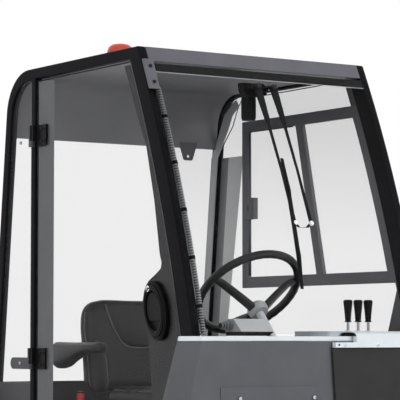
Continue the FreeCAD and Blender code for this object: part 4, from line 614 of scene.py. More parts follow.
def tube(points, radius, sides=8, closed=False):
    """A round tube through points, open or in a loop."""
    mesh = bmesh.new()
    rings = []
    count = len(points)
    normal = None
    for index, point in enumerate(points):
        before = points[index - 1] if index or closed else point
        after = points[(index + 1) % count] if index < count - 1 or closed else point
        along = (Vector(after) - Vector(before)).normalized()
        normal = along.orthogonal() if normal is None else normal - along * normal.dot(along)
        normal.normalize()
        other = along.cross(normal)
        rings.append([mesh.verts.new(Vector(point) + (normal * math.cos(turn)
                                                     + other * math.sin(turn)) * radius)
                      for turn in turns(sides)])
    pairs = list(zip(rings, rings[1:])) + ([(rings[-1], rings[0])] if closed else [])
    for lower, upper in pairs:
        shift = min(range(sides), key=lambda k: (upper[k].co - lower[0].co).length)
        for index in range(sides):
            following = (index + 1) % sides
            mesh.faces.new((lower[index], lower[following], upper[(following + shift) % sides],
                            upper[(index + shift) % sides]))
    if not closed:
        mesh.faces.new(list(reversed(rings[0])))
        mesh.faces.new(rings[-1])
    return mesh


flange_face, flange_z, latch_z, seam_top = hood_low.y, 1.1005, 0.922, 0.900
fixings("hood_flange_screws", dome_screw, [(x, flange_face, flange_z) for x in (0.0486, 0.1907)],
        (0, -1, 0), 0.011, "chassis", nylon_white)
make("hood_drain_hole", turned([(0.0, 0.0006), (0.0035, 0.0006), (0.0035, 0.0)],
                               (0.022, flange_face, flange_z), (0, -1, 0), 16),
     fitting_moulding, "chassis")
arch = [at(0.104, 0.377 + 0.094 * run, 1.128 + 0.0165 * up)
        for run, up in zip((0, 0.02, 0.10, 0.25, 0.48, 0.72, 0.88, 0.97, 1),
                           (0, 0.45, 0.80, 0.97, 1, 0.97, 0.80, 0.45, 0))]
make("hood_end_seal", prism(arch, Vector((0.004, 0, 0))), fitting_moulding, "chassis")
latches = [(x, hatch_low.y, latch_z) for x in (-0.389, hatch_high.x - 0.012)]
fixings("hatch_latches", dome_screw, latches, (0, -1, 0), 0.017, "chassis", chrome)
gasket = 0.004
seam = [box_at(Vector((low_x, hatch_low.y, low_z)), Vector((high_x, hatch_low.y + gasket, high_z)))
        for low_x, high_x, low_z, high_z in (
            (hatch_high.x, hatch_high.x + gasket, hatch_low.z, seam_top),
            (hatch_low.x - gasket, hatch_low.x, hatch_low.z, seam_top),
            (hatch_low.x, hatch_high.x, hatch_low.z - gasket, hatch_low.z))]
make("hatch_gasket", gathered(seam), fitting_moulding, "chassis")
screw_places = [(x, panel_low.y, z) for x in (panel_low.x + 0.012, panel_high.x - 0.012)
                for z in (0.640, 0.760, 0.880)]
fixings("front_panel_screws", dome_screw, screw_places, (0, -1, 0), 0.012, "chassis")
cowl_screws = [(x, cab_edge_y - 0.472, 0.535) for x in (-0.56, -0.28, 0.0, 0.28, 0.56)]
fixings("cowl_screws", hex_screw, cowl_screws, (0, -1, 0), 0.013, "chassis")


# Cab frame: side frames and header of rolled and welded steel profile in charcoal powder coat,
# with the roof skin and the lower panels in a lighter satin grey. Rubber seals line the openings.
frame_coat = sprayed_enamel("charcoal_powder_coat", "#0f0f12", "#151518", "#2e2e34", 0.5, 0.04)
header_coat = sprayed_enamel("header_powder_coat", "#5a5a60", "#65656b", "#7b7b83", 0.5)
roof_coat = sprayed_enamel("satin_grey_roof_coat", "#828285", "#8d8d90", "#a0a0a3", 0.5)
panel_coat = sprayed_enamel("grey_panel_coat", "#3c3c40", "#47474b", "#606065", 0.5)
dress(["side_frame_left", "side_frame_right"], frame_coat, 5.0)
dress(["front_header"], header_coat, 3.0)
dress(["roof_panel"], roof_coat, 2.0)
dress(["lower_panels"], panel_coat, 2.0)
roof_z, knee_z, knee_s, bow = 2.150, 1.120, 0.360, 0.032


def pillar(height, low_back, top_back):
    """How far ahead the bowed front pillar's line lies at a height, set back by two amounts."""
    share = min((roof_z - height) / (roof_z - knee_z), 1.0)
    return ((knee_s - low_back) * share - top_back * (1.0 - share)
            + bow * (1.0 - (2.0 * share - 1.0) ** 2))


def rear_pillar(height, inset):
    """The same for the straight, raked rear pillar."""
    return -(1.1317 - (height - 0.500) * 0.1065) + inset


seal_rubber = moulded_rubber("extruded_seal_rubber", "#141414", "#1d1d1d", 0.6)
door_foot, door_top, sill, seal_x = 0.565, 2.100, 0.960, 0.4865
heights = [door_foot + (door_top - door_foot) * step / 24 for step in range(25)]
for side, label, bottom, rear_s in ((-1, "right", door_foot, -0.7365), (1, "left", sill, None)):
    x = side * seal_x
    front = [at(x, pillar(z, 0.0815, 0.0765), z) for z in heights if z >= bottom]
    if rear_s is None:
        rear = [at(x, rear_pillar(z, 0.047), z) for z in reversed(heights) if bottom <= z <= 1.93]
        bend = [at(x, -0.884 + 0.028, 1.99), at(x, -0.852 + 0.030, 2.055), at(x, -0.790, 2.096)]
        rear = list(reversed(bend)) + rear
    else:
        rear = [at(x, rear_s, z) for z in reversed(heights)]
    make("opening_seal_" + label, tube(front + rear, 0.0022, 6, True), seal_rubber, "chassis")
roof_screws = [(side * 0.448, cab_edge_y + s, 2.144) for side in (-1, 1)
               for s in (0.09, 0.32, 0.55, 0.78)]
fixings("roof_screws", dome_screw, roof_screws, (0, 0, 1), 0.014, "chassis")


# Cab glass: 6 mm tempered safety glass, clear, cut to shape with ground edges, and a laminated
# windscreen with a pale grey shade towards its top. Their borders carry a dark fired-on band
# that hides the sealant.
door_pane = clear_glass("tempered_side_glass", "#f6f6f6")[0]
screen_pane, tree, shader, where = clear_glass("laminated_screen_glass", "#f2f2f2")
height = add(tree, "ShaderNodeSeparateXYZ", {"Vector": where})
shade = add(tree, "ShaderNodeMapRange",
            {"Value": height.outputs["Z"], "From Min": 1.45, "From Max": 1.95})
mix = add(tree, "ShaderNodeMix", {0: shade.outputs["Result"], 6: linear("#f2f2f2"),
                                  7: linear("#d8d8d8")}, data_type="RGBA")
tree.links.new(mix.outputs[2], shader.inputs["Base Color"])
dress(["door_glass_right", "quarter_glass_right", "side_glass_left", "rear_window"], door_pane)
dress(["windscreen"], screen_pane)


def fired_band(name, dark, light):
    """Enamel fired onto the glass: smooth and satin, with no grain of its own."""
    material, tree, shader, where = surface(name, 0.4)
    tones(tree, shader, where, dark, light, 120.0)
    return material


band_enamel = fired_band("fired_grey_band", "#5c5d5f", "#656668")
dark_band = fired_band("fired_black_band", "#1a1a1c", "#202022")
edge_line = fired_band("pale_edge_line", "#d8dadb", "#e2e3e4")
rear_enamel = fired_band("fired_pale_grey_band", "#88898b", "#929395")
pane_inside, band_thick = 0.4877, 0.0004


def side_band(name, side, outer, inner, body, material):
    """A band on the inner face of a side pane, between two lines of (forward, height)."""
    outside, inside = side * pane_inside, side * (pane_inside - band_thick)
    rings = [[at(outside, *edge), at(outside, *margin), at(inside, *margin), at(inside, *edge)]
             for edge, margin in zip(outer, inner)]
    return make(name, lofted(rings), material, body)


inner_line = [(-0.105, 2.090), (-0.040, 1.950), (0.0426, 1.790), (0.095, 1.600), (0.1315, 1.410),
              (0.143, 1.385), (0.1375, 1.363), (0.108, 1.346), (0.0565, 1.321), (0.0305, 1.290),
              (0.021, 1.256), (0.030, 1.190), (0.0576, 1.128), (0.0864, 0.909), (0.115, 0.566)]
side_band("door_front_band", -1, [(pillar(z, 0.090, 0.085), z) for s, z in inner_line],
          inner_line, "door_right", dark_band)
for name, body, outer, inner in (
        ("door_hinge_band", "door_right", [(-0.730, 2.095), (-0.730, 0.566)],
         [(-0.612, 2.095), (-0.612, 0.566)]),
        ("door_foot_band", "door_right", [(-0.612, 0.566), (0.115, 0.566)],
         [(-0.612, 0.620), (0.106, 0.620)]),
        ("quarter_front_band", "chassis", [(-0.774, 2.000), (-0.774, 0.960)],
         [(-0.790, 2.000), (-0.790, 0.960)])):
    side_band(name, -1, outer, inner, body, band_enamel)
far_line = [(-0.100, 2.090), (0.030, 1.790), (0.120, 1.560), (0.2095, 1.300), (0.158, 1.153),
            (0.100, 0.960)]
side_band("left_front_band", 1, [(pillar(z, 0.0825, 0.0775), z) for s, z in far_line], far_line,
          "chassis", band_enamel)
rear_run = [sill + 0.005 + 0.1 * step for step in range(10)]
bend_outer = [(-0.925, 1.960), (-0.885, 2.040), (-0.800, 2.092)]
bend_inner = [(-0.858, 1.975), (-0.828, 2.030), (-0.780, 2.066)]
side_band("left_rear_band", 1, [(rear_pillar(z, 0.050), z) for z in rear_run],
          [(rear_pillar(z, 0.100), z) for z in rear_run], "chassis", rear_enamel)
outer = [(rear_pillar(z, 0.004), z) for z in rear_run] + bend_outer
inner = [(rear_pillar(z, 0.050), z) for z in rear_run] + bend_inner
trim_face, trim_back = 0.4640, 0.4672
trim = lofted([[at(trim_back, *edge), at(trim_face, *edge), at(trim_face, *margin),
                at(trim_back, *margin)] for edge, margin in zip(outer, inner)])
trim_moulding = moulded_plastic("pale_pillar_trim_moulding", "#b9bbbd", "#c4c6c8", "#d8dadc",
                                0.5, 4.0, 0.1)
make("left_rear_pillar_trim", trim, trim_moulding, "chassis")
side_band("left_rear_line", 1, [(rear_pillar(z, 0.101), z) for z in rear_run],
          [(rear_pillar(z, 0.150 + 0.06 * (z - rear_run[0])), z) for z in rear_run],
          "chassis", edge_line)


def screen_band(name, high, low, material):
    """A band on the inner face of the windscreen between two heights."""
    heights = (high, (high + low) / 2.0, low)
    rings = []
    for x in (-0.4675, 0.4675):
        face = [at(x, pillar(z, 0, 0) - 0.0006, z) for z in heights]
        rings.append(face + [point + Vector((0, band_thick, 0)) for point in reversed(face)])
    make(name, lofted(rings), material, "chassis")


screen_band("screen_top_band", 2.088, 2.058, dark_band)
screen_band("screen_top_line", 2.0578, 2.0555, edge_line)


# Cab fittings: hinges, lock, hinge posts, pillar bracket and window slide, black anodised or
# moulded and held by button-headed screws, with a chromed key barrel in the lock.
dress(["door_fittings_right"], fitting_moulding, 1.0)
# The slide profile and the hanging tab are drawn paler than their own grey: a painted reflection of
# the studio in the glass in front of them.
slide_profile_and_reflection = moulded_plastic("grey_slide_profile_and_painted_reflection", "#66666a", "#707074", "#88888c",
                                 0.45, 4.0, 0.15)
dress(["slider_frame_left"], slide_profile_and_reflection, 1.5)
post_moulding = moulded_plastic("grey_hinge_post_moulding", "#46464a", "#505054", "#68686c",
                                0.5, 4.0, 0.15)
dress(["hinge_posts"], post_moulding, 1.0)
black_steel = sprayed_enamel("blackened_screw_steel", "#1a1a1c", "#26262a", "#55555c", 0.35)
hinge_heights = (1.890, 1.047)
post_screws = [at(-0.5063, -0.8375, z - 0.019) for z in hinge_heights]
leaf_screws = [at(-0.5003, s, z + dz) for z in hinge_heights for s in (-0.690, -0.668)
               for dz in (-0.022, 0.022)]
fixings("hinge_post_screws", dome_screw, post_screws, (-1, 0, 0), 0.014, "chassis")
fixings("hinge_leaf_screws", dome_screw, leaf_screws, (-1, 0, 0), 0.012, "door_right", black_steel)
bracket_near, bracket_reach, bracket_low, bracket_high = 0.0075, 0.0255, 1.990, 2.100
bracket_x, bracket_width = -0.503, 0.037
outline = [at(bracket_x, pillar(z, 0, 0) + s, z)
           for s, z in ((bracket_near, bracket_low), (bracket_reach, bracket_low),
                        (bracket_reach, bracket_high), (bracket_near, bracket_high))]
bracket = make("pillar_bracket_block", prism(outline, Vector((bracket_width, 0, 0))),
               header_coat, "chassis")
edges = bracket.modifiers.new("edges", "BEVEL")
edges.width, edges.segments = 0.002, 2
tab_x, tab_top, tab_thick, bore, bore_drop = 0.327, 1.925, 0.005, 0.006, 0.058
tab_y = at(0, rear_pillar(tab_top, 0.034) + 0.0005, 0).y
mesh = bmesh.new()
corners = [(-0.0435, 0.0), (0.0435, 0.0), (0.0415, -0.012), (0.0220, -0.070), (0.0175, -0.075),
           (-0.0175, -0.075), (-0.0220, -0.070), (-0.0415, -0.012)]
rings = [[mesh.verts.new((tab_x + x, tab_y, tab_top + z)) for x, z in corners],
         [mesh.verts.new((tab_x + bore * math.cos(turn), tab_y,
                          tab_top - bore_drop + bore * math.sin(turn))) for turn in turns(20)]]
lines = [mesh.edges.new((ring[index - 1], ring[index]))
         for ring in rings for index in range(len(ring))]
bmesh.ops.triangle_fill(mesh, use_beauty=True, edges=lines)
drawn = bmesh.ops.extrude_face_region(mesh, geom=list(mesh.faces))["geom"]
bmesh.ops.translate(mesh, vec=(0, tab_thick, 0),
                    verts=[item for item in drawn if isinstance(item, bmesh.types.BMVert)])
make("rear_hanging_tab", mesh, slide_profile_and_reflection, "chassis")
fixings("bracket_screws", dome_screw,
        [at(bracket_x + bracket_width / 2.0, pillar(z, 0, 0) + bracket_reach + 0.0002, z)
         for z in (2.015, 2.073)], (0, -1, 0.40), 0.014, "chassis", black_steel)
lock_x, lock_s, lock_z, lock_lean = -0.4943, 0.121, 1.218, math.radians(19.3)


def on_lock(along, aside, out):
    """A point on the leaning lock, from its centre along and across it."""
    return at(lock_x - out, lock_s - along * math.sin(lock_lean) + aside * math.cos(lock_lean),
              lock_z + along * math.cos(lock_lean) + aside * math.sin(lock_lean))


def lock_ring(along, aside, radius, out):
    """An oval bead on the lock."""
    return tube([on_lock(along * math.cos(turn), aside * math.sin(turn), out)
                 for turn in turns(64)], radius, 8, True)


make("lock_ring", gathered([lock_ring(0.099, 0.061, 0.0035, 0.0105),
                            lock_ring(0.0815, 0.0505, 0.003, 0.0165)]), fitting_moulding,
     "door_right")
barrel_along, barrel_aside = 0.083, -0.007
barrel = turned([(0.0, 0.0015), (0.004, 0.0015), (0.004, 0.003), (0.011, 0.003), (0.0125, 0.0),
                 (0.0125, -0.004)], on_lock(barrel_along, barrel_aside, 0.0150), (-1, 0, 0), 32)
make("lock_key_barrel", barrel, chrome, "door_right")
key_slot = box_at(on_lock(barrel_along, barrel_aside, 0.0177) - Vector((0, 0.001, 0.004)),
                  on_lock(barrel_along, barrel_aside, 0.0165) + Vector((0, 0.001, 0.004)))
make("lock_key_slot", key_slot, fitting_moulding, "door_right")
latch = box_at(at(0.4515, -0.6945, 1.632), at(0.4525, -0.7020, 1.658))
make("slide_latch_button", latch, black_steel, "chassis")
slide_x, slide_rear, slide_top = 0.475, -0.7175, 1.954
slide_seal = tube([at(slide_x, slide_rear, 1.3765), at(slide_x, slide_rear, slide_top),
                   at(slide_x, -0.42, slide_top)], 0.003, 8)
make("slide_felt_run", slide_seal, seal_rubber, "chassis")


# Conduit: corrugated grey nylon tube that carries the lamp leads down inside the front pillar,
# held to it by black clips. Its pale pleats are a painted highlight against the darker hose.
conduit_nylon = moulded_plastic("grey_corrugated_nylon", "#3a3a3c", "#444446", "#98989a",
                                0.4, 4.0, 0.1)
conduit_x, conduit_back, conduit_low, conduit_rise, spans = -0.431, 0.043, 1.1385, 0.8685, 47
levels = [conduit_low + conduit_rise * step / spans for step in range(spans + 1)]
run = [at(conduit_x, pillar(z, 0, 0) - conduit_back, z) for z in levels]
conduit = make("cable_conduit", tube(run, 0.0076, 16), conduit_nylon, "chassis", 50.0)
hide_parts("cab_fittings")
pleat = [(0.0070, -0.0028), (0.0104, -0.0022), (0.0108, 0.0), (0.0104, 0.0022), (0.0070, 0.0028)]
ribs = [turned(pleat, start.lerp(end, share), end - start, 16)
        for start, end in zip(run, run[1:]) for share in (0.0, 0.5)]
# The ribs are drawn pale grey over the dark hose as a painted highlight on the pleat crests.
rib_highlight_nylon = moulded_plastic("conduit_rib_painted_highlight", "#9c9ea1", "#a8aaad", "#c4c6c9",
                            0.4, 4.0, 0.1, 0.4)
make("conduit_ribs", gathered(ribs), rib_highlight_nylon, "chassis", 50.0)
clips = []
for index in (5, 14, 23, 32, 41):
    place, way = run[index], (run[index + 1] - run[index - 1]).normalized()
    clips.append(turned([(0.0098, -0.006), (0.0112, -0.006), (0.0112, 0.006), (0.0098, 0.006)],
                        place, way, 20))
    clips.append(box_at(place + Vector((-0.0368, -0.001, -0.006)),
                        place + Vector((-0.0105, 0.001, 0.006))))
make("conduit_clips", gathered(clips), fitting_moulding, "chassis")


# Wiper: two stamped arms in black lacquer with white nylon caps carry a rubber blade in a sprung
# steel carrier, and on the inside a round motor hangs from their gearbox.
spindles, spindle_height, arm_reach, arm_lean = (-0.045, 0.025), 2.028, 0.499, 0.055
tip_height = spindle_height - arm_reach


def on_screen(x, height, stand=0.026):
    """A point in front of the windscreen, at a distance from it."""
    return at(x, pillar(height, 0, 0) + stand, height)


def strip(points, half, thick):
    """A flat bar through points, with its half width and half thickness at each."""
    return lofted([[point + Vector((across, along * 0.93, along * 0.30)) for across, along in
                    ((w, t), (-w, t), (-w, -t), (w, -t))]
                   for point, w, t in zip(points, half, thick)])


parts, caps, nuts, tips = [], [], [], []
shares = (0.0, 0.015, 0.06, 0.24, 0.30, 0.62, 1.0)
arm_half = (0.010, 0.0135, 0.0135, 0.0095, 0.0055, 0.0048, 0.0065)
arm_thick = (0.004, 0.0065, 0.0065, 0.0050, 0.0030, 0.0025, 0.0025)
for x in spindles:
    tip_x = x + arm_reach * arm_lean
    line = [on_screen(x + arm_reach * arm_lean * t, spindle_height - arm_reach * t) for t in shares]
    parts.append(strip(line, arm_half, arm_thick))
    parts.append(turned([(0.0, -0.056), (0.009, -0.056), (0.009, 0.004), (0.0, 0.004)],
                        on_screen(x, spindle_height), (0, -1, 0), 20))
    caps.append(turned([(0.0, 0.004), (0.007, 0.004), (0.0095, 0.0), (0.0095, -0.004)],
                       on_screen(tip_x, tip_height, 0.030), (0, -1, 0.3), 20))
    nuts.append(turned([(0.0, 0.010), (0.008, 0.010), (0.012, 0.004), (0.0125, 0.0)],
                       on_screen(x, spindle_height, 0.033), (0, -1, 0.4), 6))
    tips.append(on_screen(tip_x, tip_height))
drop = Vector((0, 0, 0.016))
parts.append(strip([tips[0], tips[0] * 0.75 + tips[1] * 0.25 - drop,
                    tips[0] * 0.25 + tips[1] * 0.75 - drop, tips[1]],
                   (0.005,) * 4, (0.003,) * 4))
blade = [on_screen(-0.009 - 0.0225 * t, 1.762 - 0.467 * t, 0.0145)
         for t in [step / 12 for step in range(13)]]
parts.append(strip([point + Vector((0, -0.006, 0)) for point in blade],
                   (0.0030, 0.0045) + (0.0055,) * 9 + (0.0045, 0.0030), (0.0035,) * 13))
for first, last in ((1, 5), (7, 11)):
    middle = (blade[first] + blade[last]) / 2.0
    parts.append(strip([blade[first] + Vector((0, -0.009, 0)), middle + Vector((0, -0.015, 0)),
                        blade[last] + Vector((0, -0.009, 0))], (0.003, 0.0045, 0.003),
                       (0.002, 0.003, 0.002)))
parts.append(strip([blade[3] + Vector((0, -0.014, 0)), tips[0] + Vector((-0.008, -0.003, 0)),
                    blade[9] + Vector((0, -0.014, 0))], (0.004, 0.007, 0.004),
                   (0.002, 0.004, 0.002)))
motor_x, motor_back, gear_height = spindles[0] + 0.020, -0.066, 2.026
parts.append(turned([(0.0, 0.0), (0.016, 0.0), (0.026, -0.010), (0.027, -0.024), (0.027, -0.088),
                     (0.024, -0.098), (0.0, -0.100)],
                    on_screen(motor_x, gear_height - 0.016, motor_back), (0, 0, 1), 32))
gear_case = ((-0.034, 0.022), (0.058, 0.022), (0.066, 0.010), (0.060, -0.018), (0.018, -0.030),
             (-0.030, -0.030), (-0.040, -0.012))
parts.append(prism([on_screen(motor_x + x, gear_height + z, motor_back + 0.030)
                    for x, z in gear_case], Vector((0, 0.034, 0))))
wiper = make("wiper_assembly", gathered(parts), fitting_moulding, "chassis", 40.0)
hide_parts("wiper")
make("wiper_caps", gathered(caps), nylon_white, "chassis")
make("wiper_nuts", gathered(nuts), black_steel, "chassis")
make("wiper_rubber", tube(blade, 0.0042, 6), seal_rubber, "chassis")


# Floor: folded steel sheet with the pedals on it, all under a black rubber mat whose ribs run
# lengthwise and keep boots from slipping.
floor_rubber = moulded_rubber("ribbed_mat_rubber", "#1a1a1b", "#242425", 0.7)
dress(["cab_floor"], floor_rubber, 2.0)
mat_half, rib_half = 0.44, 0.006
mat = [box_at(at(x - rib_half, 0.120, 0.520), at(x + rib_half, -0.315, 0.5225))
       for x in [mat_half * (2.0 * step / 17 - 1.0) for step in range(18)]]
make("floor_mat_ribs", gathered(mat), floor_rubber, "chassis")


# Seat: moulded foam under black coated fabric, swelled by the stuffing and pulled in along its
# piped seams, on a black rubber bellows. The backrest has a domed top, side wings and a raised
# head panel, and the armrest pads thicken towards the back.
def coated_fabric():
    """Woven fabric under a black coat pressed with a leather grain."""
    material, tree, shader, where = surface("black_coated_fabric", 0.36, gloss=0.4)
    tones(tree, shader, where, "#0e0e0f", "#141415", 70.0)
    # The pressed leather grain is about 1 mm, drawn at 8 mm so that it shows.
    pattern = add(tree, "ShaderNodeTexNoise", {"Vector": where, "Scale": per_metre(8.0)})
    bump = add(tree, "ShaderNodeBump", {"Height": pattern.outputs[0], "Strength": 0.05,
                                        "Distance": 0.0005})
    tree.links.new(bump.outputs["Normal"], shader.inputs["Normal"])
    return material


vinyl = coated_fabric()
# The piping is drawn mid grey on the black seat: a painted highlight along the seams.
piping_highlight_vinyl = moulded_rubber("piping_highlight_vinyl", "#56585b", "#636568", 0.3, 0.6)
seat_x, seam_width, seam_depth, piping_radius = -0.035, 0.007, 0.006, 0.0026


def squared(count, half_across, half_along, power):
    """Points round a rounded rectangle, from its half sizes and how square it is."""
    points = []
    for turn in turns(count):
        across, along = math.cos(turn), math.sin(turn)
        points.append((half_across * math.copysign(abs(across) ** (2.0 / power), across),
                       half_along * math.copysign(abs(along) ** (2.0 / power), along)))
    return points


def settle(piece):
    """Writes what a piece's modifiers make of it into its mesh, and takes them off."""
    graph = bpy.context.evaluated_depsgraph_get()
    piece.data = bpy.data.meshes.new_from_object(piece.evaluated_get(graph))
    piece.modifiers.clear()


def swelled(name, mesh, cap, voxel=0.006):
    """Foam blown up as cloth by its filling, which moves no point by more than a cap."""
    data = bpy.data.meshes.new(name)
    mesh.to_mesh(data)
    mesh.free()
    piece = bpy.data.objects.new(name, data)
    scene = bpy.context.scene
    scene.collection.objects.link(piece)
    piece.modifiers.new("voxels", "REMESH").voxel_size = voxel
    settle(piece)
    start = [corner.co.copy() for corner in piece.data.vertices]
    cloth = piece.modifiers.new("cloth", "CLOTH")
    cloth.settings.use_pressure = True
    cloth.settings.uniform_pressure_force = 4.0
    cloth.settings.effector_weights.gravity = 0.0
    cloth.point_cache.frame_start, cloth.point_cache.frame_end = 1, 20
    for step in range(1, 21):
        scene.frame_set(step)
    settle(piece)
    scene.frame_set(1)
    for corner, rest in zip(piece.data.vertices, start):
        move = corner.co - rest
        if move.length > cap:
            corner.co = rest + move.normalized() * cap
    taut = piece.modifiers.new("taut", "SMOOTH")
    taut.factor, taut.iterations = 0.5, 14
    settle(piece)
    piece.data.materials.clear()
    piece.data.materials.append(vinyl)
    piece.data.shade_smooth()
    crowned = piece.modifiers.new("smooth", "SUBSURF")
    crowned.levels = crowned.render_levels = 1
    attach(piece, "chassis")
    return piece


def sewn(cover, lines, width, depth):
    """Pulls a cover in along its seams, and gives back each seam's points on the cover."""
    data = cover.data
    tree = BVHTree.FromPolygons([corner.co for corner in data.vertices],
                                [face.vertices for face in data.polygons])
    laid = [[place - facing * depth * 0.45
             for place, facing, _, _ in [tree.find_nearest(point) for point in line]]
            for line in lines]
    points = [point for line in laid for point in line]
    seams = KDTree(len(points))
    for number, point in enumerate(points):
        seams.insert(point, number)
    seams.balance()
    normals = [corner.normal.copy() for corner in data.vertices]
    for corner, facing in zip(data.vertices, normals):
        near = seams.find(corner.co)[2]
        if near < width * 3.0:
            corner.co -= facing * depth * math.exp(-(near / width) ** 2)
    return laid


def piping(name, seams):
    """A cord of piping along each seam, which comes with whether it closes in a loop."""
    make(name, gathered([tube(line, piping_radius, 8, closed) for line, closed in seams]),
         piping_highlight_vinyl, "chassis", 80.0)


low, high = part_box("seat_backrest")
back_low, back_high, back_face, rake = low.z, high.z, low.y + 0.010, math.tan(math.radians(9.0))
foam_thick, back_shoulder = 0.077, 0.190


def back_half(height):
    """Half the backrest's width at a height: straight sides under a domed top."""
    rise = max(0.0, (height - (back_high + 0.005 - back_shoulder)) / back_shoulder)
    foot = max(0.0, (back_low + 0.05 - height) / 0.05)
    return 0.236 * (max(1.0 - rise ** 5, 0.0)) ** 0.2 * (1.0 - 0.12 * foot ** 2)


def head_edge(across):
    """How high the lower edge of the head panel lies at a distance from the seat's middle."""
    return 1.088 + 0.187 * abs(across / 0.148) ** 3.2


def back_front(height):
    """Where the backrest's front face lies at a height."""
    return back_face + (height - back_low) * rake


def eased(value, width):
    """0 to 1 as a value runs from nothing to that width."""
    return min(max(value / width, 0.0), 1.0)


rings = []
for step in range(31):
    height = back_low + 0.006 + (back_high - back_low - 0.004) * step / 30
    share = (height - back_low) / (back_high - back_low)
    thick = foam_thick / 2.0 * (1.0 - 0.35 * share ** 3)
    middle = back_front(height) + foam_thick / 2.0
    rings.append([Vector((seat_x + across, middle + along, height))
                  for across, along in squared(64, back_half(height), thick, 4.5)])
mesh = lofted(rings)
for corner in mesh.verts:
    aside = abs(corner.co.x - seat_x)
    if corner.co.y < back_front(corner.co.z) + 0.03:
        wing = eased(aside - 0.135, 0.04) * eased(1.135 - corner.co.z, 0.03)
        swell = eased(corner.co.z - head_edge(aside), 0.03)
        corner.co.y -= 0.010 * wing + 0.009 * swell
backrest = swelled("backrest_cover", mesh, 0.009)
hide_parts("seat_backrest")
head_seam = [(x, head_edge(x)) for x in
             [0.147 * math.sin(math.pi / 2.0 * (step / 36.0 - 1.0)) for step in range(73)]]
side_seam = [[(side * 0.156, 0.925 + 0.0033 * step) for step in range(40)]
             + [(side * (0.156 + 0.0125 * step), 1.055 + 0.075 * math.sin(step * 0.39))
                for step in range(1, 5)] for side in (-1, 1)]
front_lines = [[Vector((seat_x + x, back_front(z) - 0.02, z)) for x, z in line]
               for line in [head_seam] + side_seam]
rim_line = [Vector((seat_x + side * (back_half(z) + 0.02), back_front(z) + 0.012, z))
            for side, z in [(-1, 0.93 + 0.31 * step / 30) for step in range(31)]]
other_rim = [Vector((2.0 * seat_x - point.x, point.y, point.z)) for point in rim_line]
laid = sewn(backrest, front_lines + [rim_line, other_rim], seam_width, seam_depth)
piping("backrest_piping", [(line, False) for line in laid])

low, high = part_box("seat_cushion")
cushion_y = (low.y + high.y) / 2.0
rings = []
for step in range(15):
    share = step / 14.0
    height = low.z + 0.006 + (high.z - low.z - 0.014) * share
    inset = 0.016 + 0.020 * (2.0 * share - 1.0) ** 4
    rings.append([Vector((seat_x + across, cushion_y + along, height))
                  for across, along in squared(72, 0.230 - inset, 0.215 - inset, 6.0)])
cushion = swelled("cushion_cover", lofted(rings), 0.010)
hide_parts("seat_cushion")
loops = [[Vector((seat_x + across, cushion_y + along, height)) for across, along in points]
         for height, points in ((high.z, squared(120, 0.196, 0.182, 5.0)),
                                (0.872, squared(120, 0.240, 0.225, 6.0)))]
wings = [[Vector((seat_x + side * 0.130, cushion_y - 0.165 + 0.33 * step / 40, high.z))
          for step in range(41)] for side in (-1, 1)]
laid = sewn(cushion, loops + wings, seam_width, seam_depth)
piping("cushion_piping", list(zip(laid, (True, True, False, False))))

low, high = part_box("armrests")
arm_length, arm_half, arm_inset, stem_height = 0.355, 0.030, 0.026, 1.060
depths = ((0.0, 0.020), (0.012, 0.034), (0.05, 0.042), (0.12, 0.047), (0.30, 0.052), (0.45, 0.062),
          (0.60, 0.082), (0.72, 0.100), (0.82, 0.106), (0.92, 0.106), (0.975, 0.102), (1.0, 0.094))
for side, label in ((-1, "right"), (1, "left")):
    middle_x = low.x + arm_inset if side < 0 else high.x - arm_inset
    rings = []
    for share, depth in depths:
        edge = min(share / 0.05, 1.0)
        half = arm_half * (0.55 + 0.45 * edge ** 0.5) - 0.003
        drop = 0.010 * (1.0 - edge) + depth / 2.0
        rings.append([Vector((middle_x + across, low.y - 0.009 + arm_length * share,
                              high.z + 0.002 - drop + along))
                      for across, along in squared(40, half, depth / 2.0, 2.8)])
    pad = swelled("armrest_pad_" + label, lofted(rings), 0.004, 0.005)
    if side < 0:
        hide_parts("armrests")
    stem = tube([Vector((x, high.y - 0.032, stem_height))
                 for x in (seat_x + side * 0.232, middle_x)], 0.011, 16)
    make("armrest_stem_" + label, stem, fitting_moulding, "chassis")
    seam = [Vector((middle_x + side * 0.04, low.y + arm_length * (0.04 + 0.9 * step / 40),
                    high.z - 0.017)) for step in range(41)]
    other_seam = [Vector((2.0 * middle_x - point.x, point.y, point.z)) for point in seam]
    sewn(pad, [seam, other_seam], 0.004, 0.002)

dress(["seat_base"], seal_rubber, 2.0)


# Brake lever: a bent steel lever in black, with a red rubber grip pushed on at its top.
dress(["brake_lever"], fitting_moulding, smooth=40.0)
red_grip = moulded_rubber("red_moulded_grip", "#a5161c", "#bd2026", 0.35, 0.4)
lever_low, lever_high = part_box("brake_lever")
lever_middle = (lever_low + lever_high) / 2.0
grip = turned([(0.0, 0.122), (0.010, 0.121), (0.0138, 0.112), (0.0134, 0.070), (0.0146, 0.040),
               (0.0138, 0.006), (0.012, 0.0), (0.0065, 0.0)],
              (lever_middle.x, lever_middle.y, lever_high.z - 0.120), (0, 0, 1), 28)
make("brake_lever_grip", grip, red_grip, "chassis")


# Steering: a dished wheel with a skinned foam rim, finger dimples and a satin silver hub, on a
# column behind a pale grey moulded display pod with a pleated rubber boot on its stalk.
wheel_foam = moulded_rubber("skinned_wheel_foam", "#1c1c1d", "#262627", 0.36, 0.45)
axis_tilt = math.radians(43.2)
axis = Vector((0, math.sin(axis_tilt), math.cos(axis_tilt)))
side_way = Vector((1, 0, 0))
up_way = axis.cross(side_way)
rim_centre = at(seat_x, 0.009, 1.288)
rim_reach, rim_round, hub_drop, dimple_count = 0.1945, 0.0152, 0.074, 40


def on_wheel(turn, reach, drop):
    """A point of the wheel, from its angle, its distance out and how far it is dished."""
    return (rim_centre + (side_way * math.cos(turn) + up_way * math.sin(turn)) * reach
            - axis * drop)


